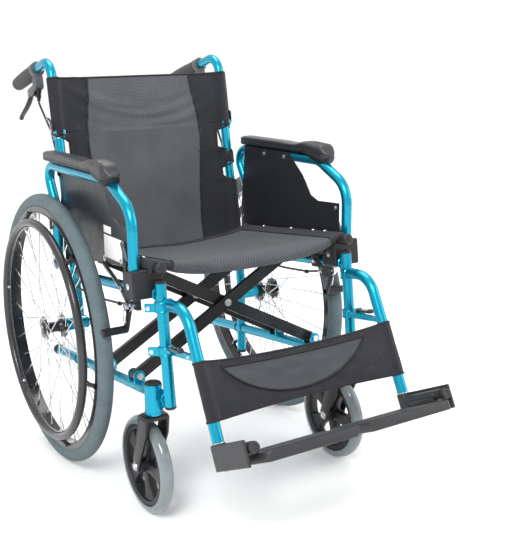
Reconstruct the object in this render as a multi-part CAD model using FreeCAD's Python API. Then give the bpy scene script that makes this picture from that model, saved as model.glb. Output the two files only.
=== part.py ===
import FreeCAD, Part
import math
import os

V = FreeCAD.Vector
X_AXIS = V(1, 0, 0)

# Driving dimensions, in mm. +X is the occupant's left, -Y the front, +Z up.
# Lengths along Y are measured from the rear axle; everything is moved by AXLE_Y when it is written.
AXLE_Y = 198.6
AXLE_Z = 305.0          # rear wheel radius
TILT = 6.5              # side rails rise toward the front
HALF = 222.0            # side frame, seat rails and cross brace pivots: distance from the centre plane
TUBE_R = 11.1           # 7/8 inch frame tube
RAIL_R = 11.0           # side rails, a hair thinner than the posts they are welded to
WALL = 1.5

POST_S = -426.0         # front post, along the tilted rails
LOWER_H = -93.3         # heights above the axle, square to the tilted rails
UPPER_H = 112.0
PIVOT_H = -71.4
SEAT_H = 163.8
RAIL_FRONT, RAIL_REAR = -433.0, -24.0
BRACE_S = (-280.0, -138.0)
BRACE_W, BRACE_T, BRACE_BOSS = 25.0, 11.8, 12.2
BOSS_R = 10.6           # clears the lower rail by 0.3

HEAD_X, HEAD_Y = 236.0, -390.0
HEAD_TOP, HEAD_BOTTOM = 284.0, 222.0
CASTER_R, CASTER_TRAIL, CASTER_W = 100.0, 38.0, 28.0

RECLINE = 10.0
BEND_Z = 340.0          # the rear post leans back above here
FOLD_T = 401.0          # half-fold hinge, along the leaning post
BACK_Y = 12.0
GRIP_Z = 878.0
BEND_T = 570.5          # corner between the leaning post and its push handle

ARM_X, ARM_Y = 256.0, -367.0
ARM_PIVOT = (30.0, 445.0)
ARM_LATCH = (-344.0, 517.0)

WHEEL_X, TYRE_R, TYRE_W = 290.0, 305.0, 33.0
RIM_OUT, RIM_IN = 277.0, 262.0
HANDRIM_X, HANDRIM_R, HANDRIM_TUBE = 320.0, 242.0, 9.5
SPOKES = 36

LOCK_PIVOT = (-327.0, 428.0)

HANGER_X = 215.0
LATCH_X = HANGER_X + 10
HANGER_LEAN = 20.0      # from square to the rails
FOOT_LEAN = TILT + HANGER_LEAN
FOOT_ORIGIN = (-612.0, 215.0)
FOOT_PIN_D = -6.0
FOOT_INNER = 9.2        # half the gap between the footplates


def rad(a):
    return math.radians(a)


def tilted(x, s, h):
    """A point given along (s) and square to (h) the tilted rails, from the rear axle."""
    c, n = math.cos(rad(TILT)), math.sin(rad(TILT))
    return V(x, s * c + h * n, AXLE_Z - s * n + h * c)


def leaning(x, f, t):
    """A point on the leaning back: f is forward of the post, t runs up along it."""
    c, n = math.cos(rad(RECLINE)), math.sin(rad(RECLINE))
    return V(x, BACK_Y + t * n - f * c, BEND_Z + t * c + f * n)


def footed(x, u, d):
    """A point at the footplate: u is forward along the plate, d is down along the hanger."""
    c, n = math.cos(rad(FOOT_LEAN)), math.sin(rad(FOOT_LEAN))
    return V(x, FOOT_ORIGIN[0] - u * c - d * n, FOOT_ORIGIN[1] + u * n - d * c)


def cylinder(a, b, r):
    return Part.makeCylinder(r, (b - a).Length, a, b - a)


def ring(a, b, outer, inner):
    return cylinder(a, b, outer).cut(cylinder(a, b, inner))


def route(points, radius):
    """Straight runs joined by tangent arcs."""
    radii = radius if isinstance(radius, (list, tuple)) else [radius] * (len(points) - 2)
    edges, start = [], points[0]
    for before, corner, after, r in zip(points, points[1:], points[2:], radii):
        u = (before - corner).normalize()
        v = (after - corner).normalize()
        half = u.getAngle(v) / 2
        enter = corner + u * (r / math.tan(half))
        leave = corner + v * (r / math.tan(half))
        middle = corner + (u + v).normalize() * (r / math.sin(half) - r)
        edges.append(Part.LineSegment(start, enter).toShape())
        edges.append(Part.Arc(enter, middle, leave).toShape())
        start = leave
    edges.append(Part.LineSegment(start, points[-1]).toShape())
    return Part.Wire(edges)


def sweep(points, radius, r):
    spine = route(points, radius)
    circle = Part.makeCircle(r, points[0], points[1] - points[0])
    return spine.makePipeShell([Part.Wire([circle])], True, True)


def extended(points, first, last):
    """The same run with its ends moved outward, for a bore that leaves the tube."""
    out = list(points)
    out[0] = points[0] + (points[0] - points[1]).normalize() * first
    out[-1] = points[-1] + (points[-1] - points[-2]).normalize() * last
    return out


def weld(tubes, solids=()):
    """Tubes as (points, bend radius, first end, last end, tube radius), fused and then bored through."""
    outer = [sweep(p, bend, r) for p, bend, a, b, r in tubes]
    inner = [sweep(extended(p, a, b), bend, r - WALL) for p, bend, a, b, r in tubes]
    body = outer[0].multiFuse(outer[1:]) if len(outer) > 1 else outer[0]
    bore = inner[0].multiFuse(inner[1:]) if len(inner) > 1 else inner[0]
    body = body.cut(bore)
    return body.multiFuse(list(solids)) if solids else body


def slab(points, x0, x1):
    """A plate across X from x0 to x1 with the given outline."""
    flat = [V(x0, p.y, p.z) for p in points]
    return Part.Face(Part.makePolygon(flat + [flat[0]])).extrude(V(x1 - x0, 0, 0))


def block(frame, x0, x1, a0, a1, b0, b1):
    """A box square to one of the tilted frames above."""
    corners = [frame(x0, a0, b0), frame(x0, a1, b0), frame(x0, a1, b1), frame(x0, a0, b1)]
    return slab(corners, x0, x1)


def flat_bar(a, b, width, along, thick):
    """A bar from a to b, thick in direction along and width across."""
    n = V(along).normalize()
    side = (b - a).cross(n).normalize() * (width / 2)
    base = [a + side, b + side, b - side, a - side]
    base = [p - n * (thick / 2) for p in base]
    return Part.Face(Part.makePolygon(base + [base[0]])).extrude(n * thick)


def torus(x, r, tube):
    return Part.makeTorus(r, tube, V(x, 0, AXLE_Z), X_AXIS)


def save(name, shape):
    moved = shape.copy()
    moved.translate(V(0, AXLE_Y, 0))
    moved.exportStep("parts/" + name + ".step")


def save_pair(name, left):
    save(name + "_L", left)
    save(name + "_R", left.mirror(V(0, 0, 0), X_AXIS))


ALONG = tilted(0, 1, 0) - tilted(0, 0, 0)
SQUARE = tilted(0, 0, 1) - tilted(0, 0, 0)


def side_frame():
    post = [tilted(HALF, POST_S, -105), tilted(HALF, POST_S, 134.6)]
    lower = [tilted(HALF, 164, LOWER_H), tilted(HALF, -372, LOWER_H)]
    upper = [tilted(HALF, 19, UPPER_H), tilted(HALF, POST_S + 4, UPPER_H)]
    back = [V(HALF, BACK_Y, 152), V(HALF, BACK_Y, BEND_Z), leaning(HALF, 0, FOLD_T - 12.5)]
    head = ring(V(HEAD_X, HEAD_Y, HEAD_BOTTOM), V(HEAD_X, HEAD_Y, HEAD_TOP), 17, 13)
    floor = ring(V(HEAD_X, HEAD_Y, HEAD_BOTTOM), V(HEAD_X, HEAD_Y, HEAD_BOTTOM + 8), 17, 6.42)
    web = slab([V(0, HEAD_Y - 10, 226), V(0, HEAD_Y - 38, 254), V(0, HEAD_Y - 38, 276),
                V(0, HEAD_Y - 10, 276)], HALF + 3, HALF + 7)
    sleeve = ring(V(HALF - 13, 0, AXLE_Z), V(262, 0, AXLE_Z), 14, 8.06)
    solids = [head, floor, web, sleeve]
    for s in BRACE_S:
        for near in (s - 16.2, s + 12.4):
            base = tilted(HALF, near, LOWER_H + 8)
            top = tilted(HALF, near, PIVOT_H)
            lug = flat_bar(base, top, 24, ALONG, 3.8)
            lug.translate(ALONG * 1.9)
            solids.append(lug)
            solids.append(cylinder(top, top + ALONG * 3.8, 12))
    for x in (HALF - 11.3, HALF + 8.3):
        disc = cylinder(leaning(x, 0, FOLD_T), leaning(x + 3, 0, FOLD_T), 11)
        solids.append(disc)
        solids.append(block(leaning, x, x + 3, -8, 8, FOLD_T - 16, FOLD_T))
    frame = weld([(post, 0, 5, -4, TUBE_R), (lower, 0, 5, -14, RAIL_R), (upper, 0, -2, -2, RAIL_R),
                  (back, 150, 5, 5, TUBE_R)], solids)
    frame = frame.cut(cylinder(V(HEAD_X, HEAD_Y, HEAD_BOTTOM + 8), V(HEAD_X, HEAD_Y, HEAD_TOP + 5), 13))
    frame = frame.cut(cylinder(V(HALF - 20, 0, AXLE_Z), V(270, 0, AXLE_Z), 8.06))
    for s in BRACE_S:
        frame = frame.cut(cylinder(tilted(HALF, s - 20, PIVOT_H), tilted(HALF, s + 20, PIVOT_H), 4.06))
    frame = frame.cut(cylinder(leaning(HALF - 20, 0, FOLD_T), leaning(HALF + 20, 0, FOLD_T), 4.06))
    y, z = ARM_PIVOT
    return frame.cut(cylinder(V(HALF - 20, y, z), V(HALF + 20, y, z), 6.0))


def armrest_pocket():
    y0, y1 = ARM_Y, ARM_Y + 5
    low, high = 487.0, 520.0
    pocket = cylinder(V(ARM_X, y0, low), V(ARM_X, y0, high), 12.2)
    pocket = pocket.fuse(cylinder(V(ARM_X, y1, low), V(ARM_X, y1, high), 12.2))
    return pocket.fuse(Part.makeBox(24.4, y1 - y0, high - low, V(ARM_X - 12.2, y0, low)))


def arm_latch_seat():
    y, z = ARM_LATCH
    pin = cylinder(V(247, y, z), V(265, y, z), 3.0)
    ears = [Part.makeBox(3, 12, 24, V(x, y - 6, z - 19)) for x in (247, 262)]
    return [pin] + ears


def frame_blocks():
    """Black plastic on the side frame: saddles under the seat rail, arm socket, lock clamp, end caps."""
    rail = cylinder(tilted(HALF, -440, UPPER_H), tilted(HALF, 20, UPPER_H), TUBE_R)
    cradle = cylinder(tilted(HALF, -440, SEAT_H), tilted(HALF, 20, SEAT_H), TUBE_R + 0.5)
    above = block(tilted, HALF - TUBE_R - 0.5, HALF + TUBE_R + 0.5, -440, 20, SEAT_H, SEAT_H + 40)
    socket = block(tilted, 206, 271, -409, -363, 105, 160)
    socket = socket.makeFillet(4, socket.Edges)
    inner_side = block(tilted, 200, 237, -415, -355, 157.5, 165)
    socket = socket.cut(rail).cut(cradle).cut(above).cut(inner_side).cut(armrest_pocket())
    socket = socket.multiFuse(arm_latch_seat())
    rear = block(tilted, 207, 236, -70, -40, 98.5, 157.5).cut(rail).cut(cradle)
    clamp = block(tilted, 208, 236, -346, -318, 98, 127)
    clamp = clamp.makeFillet(3, clamp.Edges).fuse(block(tilted, 229.5, 238, -350, -328, 74, 106)).cut(rail)
    foot = cylinder(tilted(HALF, 164, LOWER_H), tilted(HALF, 178, LOWER_H), 12.5)
    plug = cylinder(V(HALF, BACK_Y, 146), V(HALF, BACK_Y, 152), 12)
    return Part.makeCompound([socket, rear, clamp, foot, plug])


def frame_hardware():
    """Steel on the side frame: axle, armrest pin, brace bolts, half-fold pin and lock pin."""
    axle = cylinder(V(203, 0, AXLE_Z), V(322, 0, AXLE_Z), 8.0)
    axle = axle.fuse(cylinder(V(203, 0, AXLE_Z), V(208.9, 0, AXLE_Z), 12))
    axle = axle.fuse(cylinder(V(318.5, 0, AXLE_Z), V(324, 0, AXLE_Z), 11))
    y, z = ARM_PIVOT
    arm_pin = cylinder(V(HALF - 13, y, z), V(269, y, z), 6.0)
    arm_pin = arm_pin.fuse(cylinder(V(267.8, y, z), V(271.5, y, z), 9))
    pieces = [axle, arm_pin]
    for s in BRACE_S:
        a, b = tilted(HALF, s - 19.5, PIVOT_H), tilted(HALF, s + 19.5, PIVOT_H)
        bolt = cylinder(a, b, 4.0)
        bolt = bolt.fuse(cylinder(a, a + ALONG * 3.2, 7)).fuse(cylinder(b - ALONG * 3.2, b, 7))
        pieces.append(bolt)
    a, b = leaning(HALF - 14.4, 0, FOLD_T), leaning(HALF + 14.4, 0, FOLD_T)
    pin = cylinder(a, b, 4.0).fuse(cylinder(a, a + V(3, 0, 0), 7)).fuse(cylinder(b - V(3, 0, 0), b, 7))
    pieces.append(pin)
    y, z = LOCK_PIVOT
    pin = cylinder(V(238, y, z), V(258, y, z), 5.0)
    pieces.append(pin.fuse(cylinder(V(255, y, z), V(258, y, z), 8)))
    return Part.makeCompound(pieces)


def wheel_lock():
    """Shoe bar, arm and hand lever, turning together on the lock pin."""
    y, z = LOCK_PIVOT
    reach = TYRE_R + 8 + 0.4
    angle = math.asin(69.0 / reach)
    sy, sz = -reach * math.cos(angle), AXLE_Z + 69.0
    arm = flat_bar(V(249, y, z), V(249, sy, sz), 16, X_AXIS, 6)
    lever = flat_bar(V(249, y, z), V(249, y + 34, z + 26), 14, X_AXIS, 6)
    grip = flat_bar(V(249, y + 28, z + 22), V(249, y + 122, z + 62), 12, X_AXIS, 6)
    eye = cylinder(V(246, y, z), V(252, y, z), 12)
    shoe = cylinder(V(246, sy, sz), V(302, sy, sz), 8)
    body = arm.multiFuse([lever, grip, eye, shoe])
    return body.cut(cylinder(V(240, y, z), V(260, y, z), 5.06))


def cable_points():
    return [V(222, 201.3, 799.5), V(222, 186, 785), V(222, 128, 735), leaning(223, -17.5, 330),
            leaning(226, -17.5, 160), V(240, 34, 398), V(240, -10, 396), V(240, -160, 402),
            V(236, -250, 412), V(233.5, -315.5, 426.5)]


def brake_cable():
    return sweep(cable_points(), [20, 40, 120, 120, 40, 30, 200, 200], 2.5)


def grip_point(x, g, n):
    """g runs back along the push handle, n is below it."""
    c, s = math.cos(rad(15)), math.sin(rad(15))
    return V(x, 200 + g * c - n * s, GRIP_Z - g * s - n * c)


def back_post():
    run = [leaning(HALF, 0, FOLD_T + 12.5), leaning(HALF, 0, BEND_T), grip_point(HALF, 146, 0)]
    tube = weld([(run, 40, 5, 5, TUBE_R)])
    solids = []
    for x in (HALF - 8, HALF + 4.9):
        solids.append(cylinder(leaning(x, 0, FOLD_T), leaning(x + 3.1, 0, FOLD_T), 10.8))
        solids.append(block(leaning, x, x + 3.1, -8, 8, FOLD_T, FOLD_T + 16))
    post = tube.multiFuse(solids)
    return post.cut(cylinder(leaning(HALF - 20, 0, FOLD_T), leaning(HALF + 20, 0, FOLD_T), 4.06))


def revolved(profile, place, direction):
    """A turned piece from (distance along, radius) pairs."""
    axis = V(direction).normalize()
    side = axis.cross(X_AXIS).normalize()
    points = [place + axis * a + side * r for a, r in profile]
    face = Part.Face(Part.makePolygon(points + [points[0]]))
    return face.revolve(place, axis, 360)


def grip():
    place = grip_point(HALF, 0, 0)
    axis = grip_point(HALF, 1, 0) - place
    bore = TUBE_R
    profile = [(18, bore), (18, 17.5), (22, 17.5), (26, 15.2), (60, 16.6), (100, 17.0), (138, 15.6),
               (147, 16.4), (152, 14.0), (152, 0), (146.2, 0), (146.2, bore)]
    return revolved(profile, place, axis)


def lever_housing():
    place = grip_point(HALF, 0, 0)
    axis = grip_point(HALF, 1, 0) - place
    collar = revolved([(-4, TUBE_R), (-4, 17.5), (14, 17.5), (14, TUBE_R)], place, axis)
    body = block(grip_point, HALF - 10, HALF + 10, -4, 17.6, 15, 46)
    bore = cylinder(grip_point(HALF - 20, 58, 44), grip_point(HALF + 20, 58, 44), 3.06)
    cheeks = [block(grip_point, x, x + 3, 14, 66, 34, 54).cut(bore) for x in (HALF - 10, HALF + 7)]
    stem = cylinder(grip_point(HALF, 8, 44), V(HALF, 201, GRIP_Z - 76), 6)
    body = body.cut(cylinder(place, grip_point(HALF, 60, 0), TUBE_R)).multiFuse(cheeks + [stem])
    return collar.fuse(body).cut(cylinder(grip_point(HALF, -20, 0), grip_point(HALF, 20, 0), TUBE_R))


def att_lever():
    eye = cylinder(grip_point(HALF - 6.6, 58, 44), grip_point(HALF + 6.6, 58, 44), 8)
    pin = cylinder(grip_point(HALF - 10.5, 58, 44), grip_point(HALF + 10.5, 58, 44), 3.0)
    blade = flat_bar(grip_point(HALF, 56, 46), grip_point(HALF, 128, 96), 9, X_AXIS, 13)
    tip = cylinder(grip_point(HALF - 6.5, 128, 96), grip_point(HALF + 6.5, 128, 96), 5.5)
    return eye.multiFuse([pin, blade, tip])


def brace(first):
    """One half of the cross brace with its seat rail: low on one side, high on the other."""
    side = -1 if first else 1
    rise = SEAT_H - PIVOT_H
    pieces = []
    for s in BRACE_S:
        mid = s - BRACE_BOSS / 2 + 0.1 if first else s + BRACE_BOSS / 2 - 0.1
        low = tilted(side * HALF, mid, PIVOT_H)
        high = tilted(-side * HALF, mid, SEAT_H)
        stop = high + (low - high).normalize() * 8
        pieces.append(flat_bar(low, stop, BRACE_W, ALONG, BRACE_T))
        end = tilted(side * HALF, s, PIVOT_H)
        pieces.append(cylinder(end - ALONG * BRACE_BOSS, end + ALONG * BRACE_BOSS, BOSS_R))
    rail = [tilted(-side * HALF, RAIL_FRONT, SEAT_H), tilted(-side * HALF, RAIL_REAR, SEAT_H)]
    body = pieces[0].multiFuse(pieces[1:] + [cylinder(rail[0], rail[1], TUBE_R)])
    body = body.cut(cylinder(rail[0] + ALONG * 10, rail[1] + ALONG * 10, TUBE_R - WALL))
    for s in BRACE_S:
        for x, h in ((side * HALF, PIVOT_H), (0, PIVOT_H + rise / 2)):
            body = body.cut(cylinder(tilted(x, s - 20, h), tilted(x, s + 20, h), 4.06))
    return body


def cross_bolts():
    bolts = []
    middle = (PIVOT_H + SEAT_H) / 2
    for s in BRACE_S:
        a, b = tilted(0, s - 16, middle), tilted(0, s + 16, middle)
        bolt = cylinder(a, b, 4.0)
        heads = [cylinder(a, a + ALONG * 3.6, 8), cylinder(b - ALONG * 3.6, b, 8)]
        bolts.append(bolt.multiFuse(heads))
    return Part.makeCompound(bolts)


def sling_section(sag, thick):
    """Cloth over the seat rails: rounds each rail and hangs between them."""
    outer, inner = TUBE_R + 2.4, TUBE_R + 0.4
    top, low = SEAT_H + outer, SEAT_H + inner
    corner = inner * math.sin(rad(45))
    far = outer * math.sin(rad(45))

    def at(x, h):
        return tilted(x, 0, h)

    def bend(a, b, c):
        return Part.Arc(a, b, c).toShape()

    def line(a, b):
        return Part.LineSegment(a, b).toShape()

    return [
        line(at(HALF + inner, SEAT_H - 4), at(HALF + outer, SEAT_H - 4)),
        line(at(HALF + outer, SEAT_H - 4), at(HALF + outer, SEAT_H)),
        bend(at(HALF + outer, SEAT_H), at(HALF + far, SEAT_H + far), at(HALF, top)),
        bend(at(HALF, top), at(0, top - sag), at(-HALF, top)),
        bend(at(-HALF, top), at(-HALF - far, SEAT_H + far), at(-HALF - outer, SEAT_H)),
        line(at(-HALF - outer, SEAT_H), at(-HALF - outer, SEAT_H - 4)),
        line(at(-HALF - outer, SEAT_H - 4), at(-HALF - inner, SEAT_H - 4)),
        line(at(-HALF - inner, SEAT_H - 4), at(-HALF - inner, SEAT_H)),
        bend(at(-HALF - inner, SEAT_H), at(-HALF - corner, SEAT_H + corner), at(-HALF, low)),
        bend(at(-HALF, low), at(0, low - sag - thick), at(HALF, low)),
        bend(at(HALF, low), at(HALF + corner, SEAT_H + corner), at(HALF + inner, SEAT_H)),
        line(at(HALF + inner, SEAT_H), at(HALF + inner, SEAT_H - 4)),
    ]


def seat_sling():
    face = Part.Face(Part.Wire(sling_section(12, 5)))
    face.translate(ALONG * -414)
    return face.extrude(ALONG * 376)


def back_sling(t0, t1, sleeves):
    """Sheet between the leaning posts, with a sleeve round each post where it is given."""
    sheet = block(leaning, -HALF + 15, HALF - 15, -2.5, 2.5, t0, t1)
    pieces = [sheet]
    for x in (-HALF, HALF):
        for a, b in sleeves:
            sleeve = ring(leaning(x, 0, a), leaning(x, 0, b), 13.2, 11.5)
            link = block(leaning, min(x, x * 0.9), max(x, x * 0.9), -2.5, 2.5, a, b)
            pieces.append(sleeve)
            pieces.append(link.cut(cylinder(leaning(x, 0, a - 5), leaning(x, 0, b + 5), 11.5)))
    return pieces[0].multiFuse(pieces[1:])


HANGER_H = 93.0
HANGER_TOP = footed(HANGER_X, 0, -267.9)    # where the leg's axis meets that height


def hanger():
    start = tilted(HANGER_X, POST_S - 8, HANGER_H)
    end = footed(HANGER_X, 0, -24)
    bore = cylinder(footed(HANGER_X, 0, -150), footed(HANGER_X, 0, 0), 9.6)
    hollow = sweep([start, HANGER_TOP, footed(HANGER_X, 0, -140)], 52, TUBE_R - WALL)
    pieces = [sweep([start, HANGER_TOP, end], 52, TUBE_R)]
    post = cylinder(tilted(HALF, POST_S, -20), tilted(HALF, POST_S, 115), 11.16)
    for h, tall in ((79, 21.5), (-5, 18)):
        a = tilted(HALF, POST_S, h)
        pieces.append(cylinder(a, a + SQUARE * tall, 14.5))
        lug = block(tilted, HALF + 2, HALF + 9, POST_S + 2, POST_S + 33, h + 1, h + 17)
        lug.rotate(a, SQUARE, -40)
        pieces.append(lug)
    gusset = [tilted(0, POST_S - 5, 11), tilted(0, POST_S - 5, -3), tilted(0, -528, 0), tilted(0, -528, 10)]
    pieces.append(slab(gusset, HANGER_X - 4, HANGER_X + 4))
    body = pieces[0].multiFuse(pieces[1:])
    return body.cut(hollow).cut(post).cut(bore)


def hanger_latch():
    """Thumb lever lying on the hanger's gusset."""
    a, b = tilted(LATCH_X, POST_S - 30, 14), tilted(LATCH_X, POST_S - 66, 14)
    lever = flat_bar(a, b, 14, SQUARE, 5)
    eye = cylinder(a - SQUARE * 2.5, a + SQUARE * 2.5, 9)
    tab = cylinder(b - SQUARE * 2.5, b + SQUARE * 6, 7)
    return lever.multiFuse([eye, tab]).cut(cylinder(a - SQUARE * 9, a + SQUARE * 9, 3.06))


def hanger_pin():
    """Shelf beside the gusset, with the pin its latch turns on."""
    a = tilted(LATCH_X, POST_S - 30, 14)
    under = a - SQUARE * 6
    shelf = flat_bar(under - X_AXIS * 7, under + X_AXIS * 8, 16, SQUARE, 6)
    pin = cylinder(under, a + SQUARE * 4.6, 3.0)
    return shelf.multiFuse([pin, cylinder(a + SQUARE * 2.9, a + SQUARE * 4.6, 6)])


def foot_tube():
    body = ring(footed(HANGER_X, 0, -118), footed(HANGER_X, 0, 22), 9.5, 7.5)
    return body.fuse(cylinder(footed(HANGER_X, 0, 18), footed(HANGER_X, 0, 24), 9.5))


def foot_bracket():
    """Sleeve on the tube, an outer cheek and two ears for the footplate's pin, which lies in front of the tube."""
    pieces = [cylinder(footed(HANGER_X, 0, -22), footed(HANGER_X, 0, 24), 13)]
    cheek = block(footed, HANGER_X + 11.6, HANGER_X + 17.6, -2, 118, -22, 24)
    pieces.append(cheek.makeFillet(2.5, cheek.Edges))
    pieces.append(block(footed, HANGER_X + 2, HANGER_X + 14, -2, 10, -20, 22))
    for u0, u1 in ((14.5, 30), (97, 112)):
        pieces.append(cylinder(footed(HANGER_X, u0, FOOT_PIN_D), footed(HANGER_X, u1, FOOT_PIN_D), 11))
        pieces.append(block(footed, HANGER_X + 4, HANGER_X + 14, u0, u1, FOOT_PIN_D - 9, FOOT_PIN_D + 9))
    body = pieces[0].multiFuse(pieces[1:])
    body = body.cut(cylinder(footed(HANGER_X, 0, -40), footed(HANGER_X, 0, 40), 9.5))
    return body.cut(cylinder(footed(HANGER_X, 11, FOOT_PIN_D), footed(HANGER_X, 120, FOOT_PIN_D), 5.06))


def foot_pin():
    a, b = footed(HANGER_X, 13.8, FOOT_PIN_D), footed(HANGER_X, 124, FOOT_PIN_D)
    head = cylinder(footed(HANGER_X, 112.5, FOOT_PIN_D), b, 10.5)
    return cylinder(a, b, 5.0).fuse(head)


def footplate():
    """The inner end is bevelled, so that the two plates clear each other as the frame folds."""
    ends = [(FOOT_INNER, 5), (HANGER_X - 9, 5), (HANGER_X - 9, 23), (FOOT_INNER + 6.6, 23)]
    outline = [footed(x, 16, d) for x, d in ends]
    plate = Part.Face(Part.makePolygon(outline + [outline[0]])).extrude(footed(0, 140, 0) - footed(0, 16, 0))
    stand = block(footed, HANGER_X - 18, HANGER_X - 3, 31, 96, -4, 8)
    knuckle = cylinder(footed(HANGER_X, 30.5, FOOT_PIN_D), footed(HANGER_X, 96.5, FOOT_PIN_D), 11)
    body = plate.multiFuse([stand, knuckle])
    return body.cut(cylinder(footed(HANGER_X, 0, FOOT_PIN_D), footed(HANGER_X, 120, FOOT_PIN_D), 5.06))


ARM_RUN = [V(ARM_X, ARM_Y, 488.3), V(ARM_X, ARM_Y, 620), V(ARM_X, -268, 668), V(ARM_X, 86, 668),
           V(ARM_X, 30, 574), V(ARM_X, 30, 445)]


def armrest():
    bends = [60, 60, 30, 60]
    y, z = ARM_PIVOT
    tube = weld([(ARM_RUN, bends, 5, -8, TUBE_R)])
    eye = cylinder(V(247.5, y, z), V(264.5, y, z), 15)
    return tube.fuse(eye).cut(cylinder(V(240, y, z), V(280, y, z), 6.06))


def arm_pad():
    tube = sweep(ARM_RUN, [60, 60, 30, 60], TUBE_R)
    outline = [V(0, -312, 690), V(0, -306, 703), V(0, -290, 708), V(0, -215, 708), V(0, -190, 703),
               V(0, 38, 703), V(0, 45, 697), V(0, 43, 679.1), V(0, -236, 679.1), V(0, -262, 668),
               V(0, -296, 656), V(0, -312, 664)]
    body = slab(outline, 239.8, 282.5)
    return body.cut(tube)


def skirt_guard():
    outline = [V(0, -356, 508), V(0, -356, 584), V(0, -280, 580), V(0, -254, 590), V(0, -238, 612),
               V(0, -222, 632), V(0, -166, 678.5), V(0, 18, 678.5), V(0, 38, 520), V(0, 38, 470),
               V(0, -60, 474), V(0, -200, 487), V(0, -320, 507)]
    return slab(outline, 242.4, 244.9)


def arm_latch():
    y, z = ARM_LATCH
    lean = flat_bar(V(256, y, z), V(256, y + 20, z + 36), 12, X_AXIS, 10)
    eye = cylinder(V(251, y, z), V(261, y, z), 7)
    return lean.fuse(eye).cut(cylinder(V(240, y, z), V(270, y, z), 3.06))


def tyre():
    return torus(WHEEL_X, TYRE_R - TYRE_W / 2, TYRE_W / 2).cut(
        cylinder(V(WHEEL_X - 30, 0, AXLE_Z), V(WHEEL_X + 30, 0, AXLE_Z), RIM_OUT))


def rim():
    a, b = V(WHEEL_X - 12.5, 0, AXLE_Z), V(WHEEL_X + 12.5, 0, AXLE_Z)
    outer = cylinder(a, b, RIM_OUT)
    well = ring(V(WHEEL_X - 9.5, 0, AXLE_Z), V(WHEEL_X + 9.5, 0, AXLE_Z), RIM_OUT + 1, RIM_OUT - 6)
    return outer.cut(cylinder(a, b, RIM_IN)).cut(well)


def wheel_point(x, r, angle):
    return V(x, r * math.cos(rad(angle)), AXLE_Z + r * math.sin(rad(angle)))


def spokes():
    """Hub and 36 crossed spokes, 18 to each flange, each a separate straight rod from flange to rim."""
    hub = cylinder(V(264, 0, AXLE_Z), V(317.5, 0, AXLE_Z), 15)
    flanges = [cylinder(V(x, 0, AXLE_Z), V(x + 3, 0, AXLE_Z), 27) for x in (WHEEL_X - 23, WHEEL_X + 21)]
    hub = hub.multiFuse(flanges).cut(cylinder(V(250, 0, AXLE_Z), V(330, 0, AXLE_Z), 8.06))
    pieces = [hub]
    for i in range(SPOKES):
        side = -1 if i % 2 else 1
        lead = 1 if (i // 2) % 2 else -1
        angle = i * 360.0 / SPOKES
        foot = wheel_point(WHEEL_X + side * 22 + 0.5 - lead * side * 2.0, 24, angle + lead * 62)
        run = wheel_point(WHEEL_X + side * 2.5, RIM_IN + 2, angle) - foot
        pieces.append(cylinder(foot + run * 0.035, foot + run * 0.988, 1.15))
    return Part.makeCompound(pieces)


def handrim():
    body = torus(HANDRIM_X, HANDRIM_R, HANDRIM_TUBE)
    legs = []
    for i in range(6):
        angle = i * 60 + 12
        foot = wheel_point(WHEEL_X + 12.5, 267, angle)
        legs.append(cylinder(foot, wheel_point(HANDRIM_X, HANDRIM_R, angle), 3.5))
    body = body.multiFuse(legs)
    keep_out = cylinder(V(WHEEL_X - 12.5, 0, AXLE_Z), V(WHEEL_X + 12.5, 0, AXLE_Z), RIM_OUT)
    return body.cut(keep_out)


CASTER_Y = HEAD_Y + CASTER_TRAIL


def caster_fork():
    x0, top = HEAD_X, HEAD_BOTTOM - 1.5
    crown = Part.makeBox(52, 38, 8, V(x0 - 26, HEAD_Y - 18, top - 8))
    pieces = [crown, cylinder(V(x0, HEAD_Y, top), V(x0, HEAD_Y, 262), 6.35),
              cylinder(V(x0, HEAD_Y, HEAD_BOTTOM + 9), V(x0, HEAD_Y, HEAD_BOTTOM + 19), 11),
              cylinder(V(x0, HEAD_Y, top), V(x0, HEAD_Y, top + 1), 12)]
    for x in (x0 - 26, x0 + 20):
        leg = slab([V(0, HEAD_Y - 18, top), V(0, HEAD_Y + 20, top), V(0, CASTER_Y + 13, CASTER_R),
                    V(0, CASTER_Y - 13, CASTER_R)], x, x + 6)
        pieces += [leg, cylinder(V(x, CASTER_Y, CASTER_R), V(x + 6, CASTER_Y, CASTER_R), 13)]
    axle = cylinder(V(x0 - 30, CASTER_Y, CASTER_R), V(x0 + 30, CASTER_Y, CASTER_R), 5.0)
    ends = [V(x, CASTER_Y, CASTER_R) for x in (x0 - 30, x0 + 26)]
    heads = [cylinder(end, end + X_AXIS * 4, 7.5) for end in ends]
    return pieces[0].multiFuse(pieces[1:] + [axle] + heads)


def caster_place(x):
    return V(HEAD_X + x, CASTER_Y, CASTER_R)


def caster_core():
    hub = cylinder(caster_place(-19), caster_place(19), 14)
    outer = ring(caster_place(-12), caster_place(12), 84, 72)
    pieces = [hub, outer]
    profile = [V(0, -10, 8), V(0, 10, 8), V(0, 13, 40), V(0, 23, 74), V(0, -23, 74), V(0, -13, 40)]
    for i in range(5):
        arm = slab(profile, -9, 9)
        arm.rotate(V(0, 0, 0), X_AXIS, i * 72 + 18)
        arm.translate(caster_place(0))
        pieces.append(arm)
    return pieces[0].multiFuse(pieces[1:]).cut(cylinder(caster_place(-30), caster_place(30), 5.06))


def caster_tyre():
    half = CASTER_W / 2
    body = Part.makeTorus(CASTER_R - half, half, caster_place(0), X_AXIS)
    return body.cut(cylinder(caster_place(-20), caster_place(20), 84))


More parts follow.
